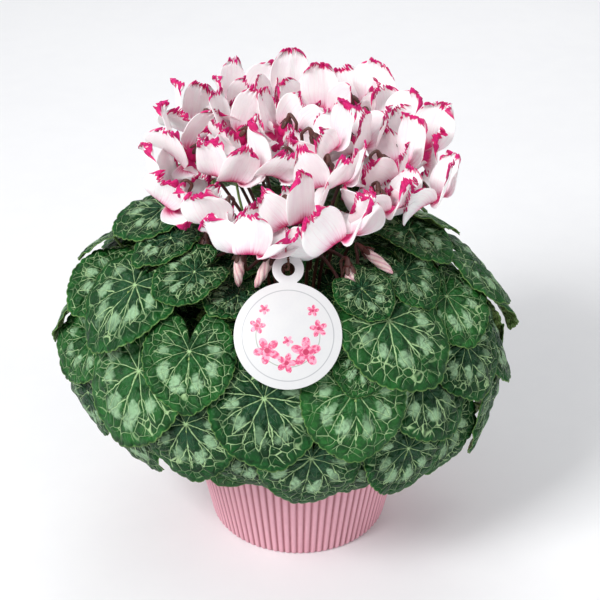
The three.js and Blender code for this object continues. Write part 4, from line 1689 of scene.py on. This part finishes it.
@dataclass
class Bud:
    """A furled bud that hangs from its stalk."""

    middle: Array
    flat: Array
    pointing: Array
    length: float = 26
    bend: float = 8
    rings: int = 30
    steps: int = 40
    ridges: int = 5
    winding: float = 3.4
    # Radius of the spindle at shares of its length from its middle
    spindle: Profile = (
        (-0.5, 2.6), (-0.25, 3.7), (0.05, 3.9), (0.35, 2.6), (0.47, 1.1), (0.5, 0.5),
    )

    @classmethod
    def at(cls, x: float, y: float, z: float, azimuth: float, down: float) -> "Bud":
        """Hangs a bud.

        Args:
            x: The place of its middle to the right.
            y: The place of its middle to the back.
            z: The height of its middle.
            azimuth: The azimuth that it points at, in degrees.
            down: How far it points down, in degrees.

        Returns:
            The bud.
        """
        flat = heading(math.radians(azimuth))
        pointing = flat * math.cos(math.radians(down)) - UP * math.sin(math.radians(down))
        return cls(np.array([x, y, z], float), flat, pointing)

    def stalk_end(self) -> Array:
        """Returns the point where the stalk meets the bud."""
        return self.middle - (self.length / 2 + 0.3) * self.pointing

    def leg(self) -> Array:
        """Returns the top of the upright part of its stalk."""
        return self.stalk_end() - self.bend * self.flat

    def build(self, number: int, material: Material) -> Object:
        """Builds the furled petals: five ridges that wind round a slim spindle.

        Args:
            number: The bud's number.
            material: Its material.

        Returns:
            The bud.
        """
        stations = np.linspace(-0.5, 0.5, self.rings)
        profile = np.interp(stations, *np.array(self.spindle).T)
        angles = around(self.steps)[None] + self.winding * stations[:, None]
        wave = np.cos(self.ridges / 2 * angles) ** 2
        radius = np.pad(profile[:, None] * (0.86 + 0.2 * wave**0.6), ((1, 1), (0, 0)))
        ahead = np.concatenate([[-0.5], stations, [0.505]]) * self.length
        side = unit(np.cross(self.pointing, UP))
        mark = np.stack([np.repeat(stations + 0.5, self.steps), 1 - wave.ravel(), 0 * wave.ravel()], 1)
        mark = np.concatenate([[[0, 0, 0]], mark, [[1, 1, 0]]])
        mould = Mould(f"bud_furled_{number}", Mark.PETAL)
        mould.add(revolved(ahead, radius, self.middle, self.pointing, side), {Mark.PETAL: mark})
        return mould.piece([material], Slot.BUD, f"bud_{number}")


BUDS = [
    Bud.at(-72, -54, 275, -60, 80),
    Bud.at(-44, -84, 279, -40, 86),
    Bud.at(-26, -90, 281, -70, 62),
    Bud.at(39, -92, 272, 40, 74),
    Bud.at(60, -76, 282, 62, 30),
]


@dataclass
class Flowers:
    """The tuber, the stalks, the head of blooms and the buds below it."""

    petal: PetalShape = field(default_factory=PetalShape)
    tuber_radius: float = 30
    tuber_flatness: float = 0.39
    cork_size: float = 6
    cork_depth: float = 2
    tube_length: float = 11
    tube_steps: int = 40
    # Place ahead of the mouth and radius of each ring of the tube's outside and inside, and of the anthers
    outside: Profile = ((-11, 2.4), (-10.6, 3.3), (-8, 4.3), (-4, 5.3), (-1, 5.6), (0.2, 5.4))
    inside: Profile = ((0, 4.9), (-2, 4.8), (-6, 4.2), (-9.4, 2.6))
    cone: Profile = ((-9.6, 0), (-9.4, 2.3), (-5, 2.6), (-2, 1.9), (0.2, 0.8), (0.6, 0))

    def build(self) -> list[Object]:
        """Builds and dresses the flowers from the tuber up.

        Returns:
            The stalks, the tuber, the blooms and the buds.
        """
        blooms = [Bloom(index) for index in range(Bloom.count)]
        pieces = [self.build_stalks(blooms), self.build_tuber()]
        petal = PetalFinish().material()
        pieces += [self.build_bloom(bloom, blooms, petal) for bloom in blooms]
        furled = BudFinish().material()
        return pieces + [bud.build(i + 1, furled) for i, bud in enumerate(BUDS)]

    def build_stalks(self, blooms: list[Bloom]) -> Object:
        """Builds the stalks of all blooms and buds as one piece.

        Args:
            blooms: The blooms.

        Returns:
            The stalks.
        """
        mould = Mould("flower_stalks")
        for bloom in blooms:
            end = bloom.origin - (self.tube_length + 0.7) * bloom.mouth
            Stalk(end, bloom.outward, bloom.mouth, 9).add_to(mould)
        for bud in BUDS:
            Stalk(bud.stalk_end(), bud.flat, bud.pointing, bud.bend).add_to(mould)
        stalk = PlainFinish("flower_stalk", "#5c3028", "#35201a", scale=90, amount=0.8, roughness=0.5)
        sepal = PlainFinish(
            "sepal", "#6f6b35", "#4b3323", scale=200, amount=0.9, roughness=0.55, grain=0.0003
        )
        return mould.piece([stalk.material(), sepal.material()], Slot.STALK, "tuber_with_stalks")

    def build_tuber(self) -> Object:
        """Builds the corky crown of the tuber, which shows above the soil.

        Returns:
            The crown.
        """
        bpy.ops.object.select_all(action="DESELECT")
        centre = (0, 0, (SOIL_TOP - 2) * METRES)
        radius = self.tuber_radius * METRES
        bpy.ops.mesh.primitive_uv_sphere_add(segments=64, ring_count=32, radius=radius, location=centre)
        tuber = bpy.context.object
        tuber.name = tuber.data.name = "tuber_crown"
        tuber.scale = (1, 1, self.tuber_flatness)
        bpy.ops.object.transform_apply(location=True, rotation=False, scale=True)
        cork = bpy.data.textures.new("cork", "CLOUDS")
        cork.noise_scale = self.cork_size * METRES
        lumps = tuber.modifiers.new("lumps", "DISPLACE")
        lumps.texture = cork
        lumps.strength = self.cork_depth * METRES
        lumps.mid_level = 0.7
        bpy.ops.object.modifier_apply(modifier=lumps.name)
        bpy.ops.object.shade_smooth()
        finish = PlainFinish(
            "tuber_cork", "#5b4636", "#2f2219", scale=200, amount=0.9, roughness=0.9, grain=0.0008
        )
        return handed_over(tuber, [finish.material()], "tuber_with_stalks")

    def build_bloom(self, bloom: Bloom, blooms: list[Bloom], material: Material) -> Object:
        """Builds one bloom.

        Args:
            bloom: The bloom.
            blooms: All blooms of the head.
            material: The petals' material.

        Returns:
            The bloom's piece.
        """
        others = np.array([other.centre for other in blooms if other is not bloom])
        mould = Mould(f"bloom_{bloom.index + 1:02d}_petals", Mark.PETAL)
        mould.add(*self.tube(bloom))
        mould.add(*self.anthers(bloom))
        for petal in range(len(self.petal.turns)):
            mould.add(*self.petal.shell_of(bloom, petal, others))
        return mould.piece([material], Slot.PETAL, f"bloom_{bloom.index + 1:02d}")

    def tube(self, bloom: Bloom) -> tuple[Body, Marks]:
        """Makes the short tube that the petals grow from.

        Args:
            bloom: The bloom.

        Returns:
            The tube and its marks.
        """
        profile = np.array([(-11.2, 0), *self.outside, *self.inside, (-9.8, 0)])
        radius = profile[:, 1:] * np.ones(self.tube_steps)
        body = revolved(profile[:, 0], radius, bloom.origin, bloom.mouth, bloom.top)
        along = np.concatenate([np.linspace(0.12, 0.02, len(self.outside)), np.full(len(self.inside), -0.35)])
        mark = np.zeros_like(body[0])
        mark[:, 0] = np.concatenate([[0.15], np.repeat(along, self.tube_steps), [-0.35]])
        return body, {Mark.PETAL: mark}

    def anthers(self, bloom: Bloom) -> tuple[Body, Marks]:
        """Makes the cone of anthers in the mouth.

        Args:
            bloom: The bloom.

        Returns:
            The cone and its marks.
        """
        profile = np.array(self.cone)
        ribs = 1 + 0.12 * np.cos(5 * around(20))
        body = revolved(profile[:, 0], profile[:, 1:] * ribs, bloom.origin, bloom.mouth, bloom.top)
        return body, {Mark.PETAL: np.zeros_like(body[0]) + (-1, 0, 0)}


# The tag and its tie


@dataclass
class Label:
    """The round card tag, leaning back against the leaves, and the tie that holds it."""

    radius: float = 39
    thickness: float = 1
    centre: tuple[float, float, float] = (-7.5, -131.5, 252.5)
    tilt: float = math.radians(40)
    ring_reach: float = 48.5
    ring_radius: float = 11.5
    hole: float = 5
    neck: float = 13
    soft_edge: float = 0.18
    tie_radius: float = 0.8
    tie_points: int = 220
    tie_turns: int = 18
    tied_bud: int = 2

    def build(self) -> list[Object]:
        """Builds and dresses the tag and the tie, and returns them."""
        return [self.build_tag(), self.build_tie()]

    def outline(self) -> Body:
        """Draws the card's outline: once round the disc and the ring above its neck, then round the hole.

        Returns:
            The points and the edges between them.
        """
        disc_cut, ring_cut = (math.asin(self.neck / 2 / radius) for radius in (self.radius, self.ring_radius))
        disc = np.linspace(disc_cut, 2 * math.pi - disc_cut, 121)
        ring = np.linspace(math.pi + ring_cut, 3 * math.pi - ring_cut, 61)
        right, up = np.eye(3)[:2]
        top = self.ring_reach * up
        outside = np.concatenate([
            self.radius * spokes(disc, up, right),
            top + self.ring_radius * spokes(ring, up, right),
        ])
        hole = top + self.hole * spokes(around(48), up, right)
        edges = [
            np.stack([first + np.arange(count), first + np.roll(np.arange(count), -1)], 1)
            for first, count in ((0, len(outside)), (len(outside), len(hole)))
        ]
        return np.concatenate([outside, hole]), np.concatenate(edges)

    def build_tag(self) -> Object:
        """Builds the card: its outline filled, thickened and softened along its edges.

        Returns:
            The card.
        """
        points, edges = self.outline()
        mesh = bpy.data.meshes.new("tag_card")
        mesh.from_pydata((points * METRES).tolist(), edges.tolist(), [])
        card = bpy.data.objects.new("tag_card", mesh)
        bpy.context.collection.objects.link(card)
        bpy.ops.object.select_all(action="DESELECT")
        card.select_set(True)
        bpy.context.view_layer.objects.active = card
        self.edit(bpy.ops.mesh.fill)
        self.thicken(card)
        self.print_on(card)
        card.location = [value * METRES for value in self.centre]
        card.rotation_euler = (math.pi / 2 - self.tilt, 0, 0)
        bpy.ops.object.transform_apply(location=True, rotation=True, scale=False)
        return handed_over(card, [CardFinish().material()], "tag")

    def thicken(self, card: Object) -> None:
        """Gives the flat card its thickness and its soft edges.

        Args:
            card: The card, the active object.
        """
        thick = card.modifiers.new("card", "SOLIDIFY")
        thick.thickness = self.thickness * METRES
        thick.offset = 0
        bpy.ops.object.modifier_apply(modifier=thick.name)
        self.edit(bpy.ops.mesh.normals_make_consistent)
        bevel = card.modifiers.new("soft_edge", "BEVEL")
        bevel.width = self.soft_edge * METRES
        bevel.segments = 2
        bevel.limit_method = "ANGLE"
        bpy.ops.object.modifier_apply(modifier=bevel.name)
        bpy.ops.object.shade_smooth_by_angle(angle=math.radians(30))

    def edit(self, operator: object) -> None:
        """Runs an operator of edit mode on all of the active object.

        Args:
            operator: The operator.
        """
        bpy.ops.object.mode_set(mode="EDIT")
        bpy.ops.mesh.select_all(action="SELECT")
        operator()
        bpy.ops.object.mode_set(mode="OBJECT")

    def print_on(self, card: Object) -> None:
        """Marks each point of the flat card with its place in millimetres, and whether it is on the front.

        Args:
            card: The card.
        """
        places = np.empty(len(card.data.vertices) * 3)
        card.data.vertices.foreach_get("co", places)
        places = places.reshape(-1, 3) / METRES
        places[:, 2] = places[:, 2] > 0
        layer = card.data.attributes.new(Mark.PRINT.value, "FLOAT_VECTOR", "POINT")
        layer.data.foreach_set("vector", places.ravel())

    def build_tie(self) -> Object:
        """Builds the tie: a loop of two-ply twine through the ring and round the stalk of the bud behind it.

        Returns:
            The tie.
        """
        upward = np.array([0, math.sin(self.tilt), math.cos(self.tilt)])
        outward = np.array([0, -math.cos(self.tilt), math.sin(self.tilt)])
        ring = np.array(self.centre) + self.ring_reach * upward
        leg = BUDS[self.tied_bud].leg()
        leg[2] = ring[2] + 1
        knots = [
            ring,
            leg + (-3.4, -1, -1.5),
            leg + (0, 3.4, 0),
            leg + (3.4, -0.5, 2.5),
            ring - 1 * outward + 13.4 * upward,
            ring + 2.4 * outward + 9 * upward,
        ]
        line = closed_line(np.array(knots), self.tie_points)
        mould = Mould("tag_tie_twine")
        for start in (0, math.pi):
            mould.add(self.strand(line, start))
        finish = PlainFinish(
            "twine_brown", "#5b3526", "#3a2018", scale=500, amount=0.8, roughness=0.8, grain=0.0003
        )
        return mould.piece([finish.material()], Slot.TIE, "tag_tie")

    def strand(self, line: Array, start: float) -> Body:
        """Winds one ply round the closed line.

        Args:
            line: The points of the line.
            start: The angle at which the ply starts.

        Returns:
            The ply, a closed ring of wire.
        """
        count, sides = len(line), 8
        along = np.roll(line, -1, 0) - np.roll(line, 1, 0)
        along /= np.linalg.norm(along, axis=1, keepdims=True)
        across = line - line.mean(axis=0)
        across -= along * np.sum(across * along, axis=1, keepdims=True)
        across /= np.linalg.norm(across, axis=1, keepdims=True)
        aside = np.cross(along, across)
        lay = (start + around(count) * self.tie_turns)[:, None]
        middle = line + 0.5 * self.tie_radius * (across * np.cos(lay) + aside * np.sin(lay))
        angles = around(sides)[:, None]
        wire = across[:, None] * np.cos(angles) + aside[:, None] * np.sin(angles)
        points = (middle[:, None] + 0.8 * self.tie_radius * wire).reshape(-1, 3)
        return points, grid_faces(count + 1, sides, closed=True) % (count * sides)


# The studio


@dataclass
class Studio:
    """The pale floor, the soft lights and the camera."""

    target: tuple[float, float, float] = (1.17, 0, 204.5)
    distance: float = 1150
    elevation: float = math.radians(30.57)
    lens: float = 84.54
    floor_size: float = 12
    aim: tuple[float, float, float] = (0, 0, 0.22)
    air: tuple[float, float, float, float] = (0.95, 0.97, 1.0, 1)
    air_strength: float = 0.44

    def build(self) -> None:
        """Sets up the camera, the floor and the lights."""
        self.build_camera()
        self.build_floor()
        self.build_lights()

    def build_camera(self) -> None:
        """Sets up the camera in front of the plant, looking down on it."""
        camera = bpy.data.objects.new("camera", bpy.data.cameras.new("camera"))
        bpy.context.collection.objects.link(camera)
        camera.data.lens = self.lens
        camera.data.sensor_width = 36
        camera.data.clip_end = 20
        x, y, z = self.target
        y -= self.distance * math.cos(self.elevation)
        z += self.distance * math.sin(self.elevation)
        camera.location = (x * METRES, y * METRES, z * METRES)
        camera.rotation_euler = (math.pi / 2 - self.elevation, 0, 0)
        bpy.context.scene.camera = camera

    def build_floor(self) -> None:
        """Lays the floor."""
        bpy.ops.object.select_all(action="DESELECT")
        bpy.ops.mesh.primitive_plane_add(size=self.floor_size, location=(0, 0, 0))
        floor = bpy.context.object
        floor.name = "floor"
        finish = PlainFinish("floor_pale", "#ededee", "#e8e8ea", scale=4, roughness=0.8, grain=0.00005)
        floor.data.materials.append(finish.material())

    def build_lights(self) -> None:
        """Hangs a soft key light at the left, a fill at the right and one behind, and lights the air."""
        self.hang("key", (-1.4, -1.4, 2.0), size=0.9, power=66)
        self.hang("fill", (1.7, -1.2, 1.2), size=1.6, power=13)
        self.hang("back", (0.3, 1.7, 1.9), size=1.6, power=20)
        world = bpy.data.worlds.new("studio_air")
        world.use_nodes = True
        background = world.node_tree.nodes["Background"].inputs
        background["Color"].default_value = self.air
        background["Strength"].default_value = self.air_strength
        bpy.context.scene.world = world
        bpy.context.scene.view_settings.view_transform = "Standard"

    def hang(self, name: str, place: tuple[float, float, float], size: float, power: float) -> None:
        """Hangs a square area light, turned towards the plant.

        Args:
            name: Its name.
            place: Its place in metres.
            size: Its side in metres.
            power: Its power in watts.
        """
        light = bpy.data.objects.new(name, bpy.data.lights.new(name, "AREA"))
        light.data.shape = "SQUARE"
        light.data.size = size
        light.data.energy = power
        bpy.context.collection.objects.link(light)
        light.location = place
        towards = Vector(self.aim) - light.location
        light.rotation_euler = towards.to_track_quat("-Z", "Y").to_euler()


def main() -> None:
    """Builds the studio and then the plant, and reports each piece."""
    logging.basicConfig(level=logging.INFO, format="%(message)s")
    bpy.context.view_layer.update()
    LOG.info("The frame has %d nodes", len(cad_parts))
    Studio().build()
    for assembly in (Pot(), Foliage(), Flowers(), Label()):
        for piece in assembly.build():
            LOG.info("%s has %d faces", piece.name, len(piece.data.polygons))


if __name__ == "__main__":
    main()
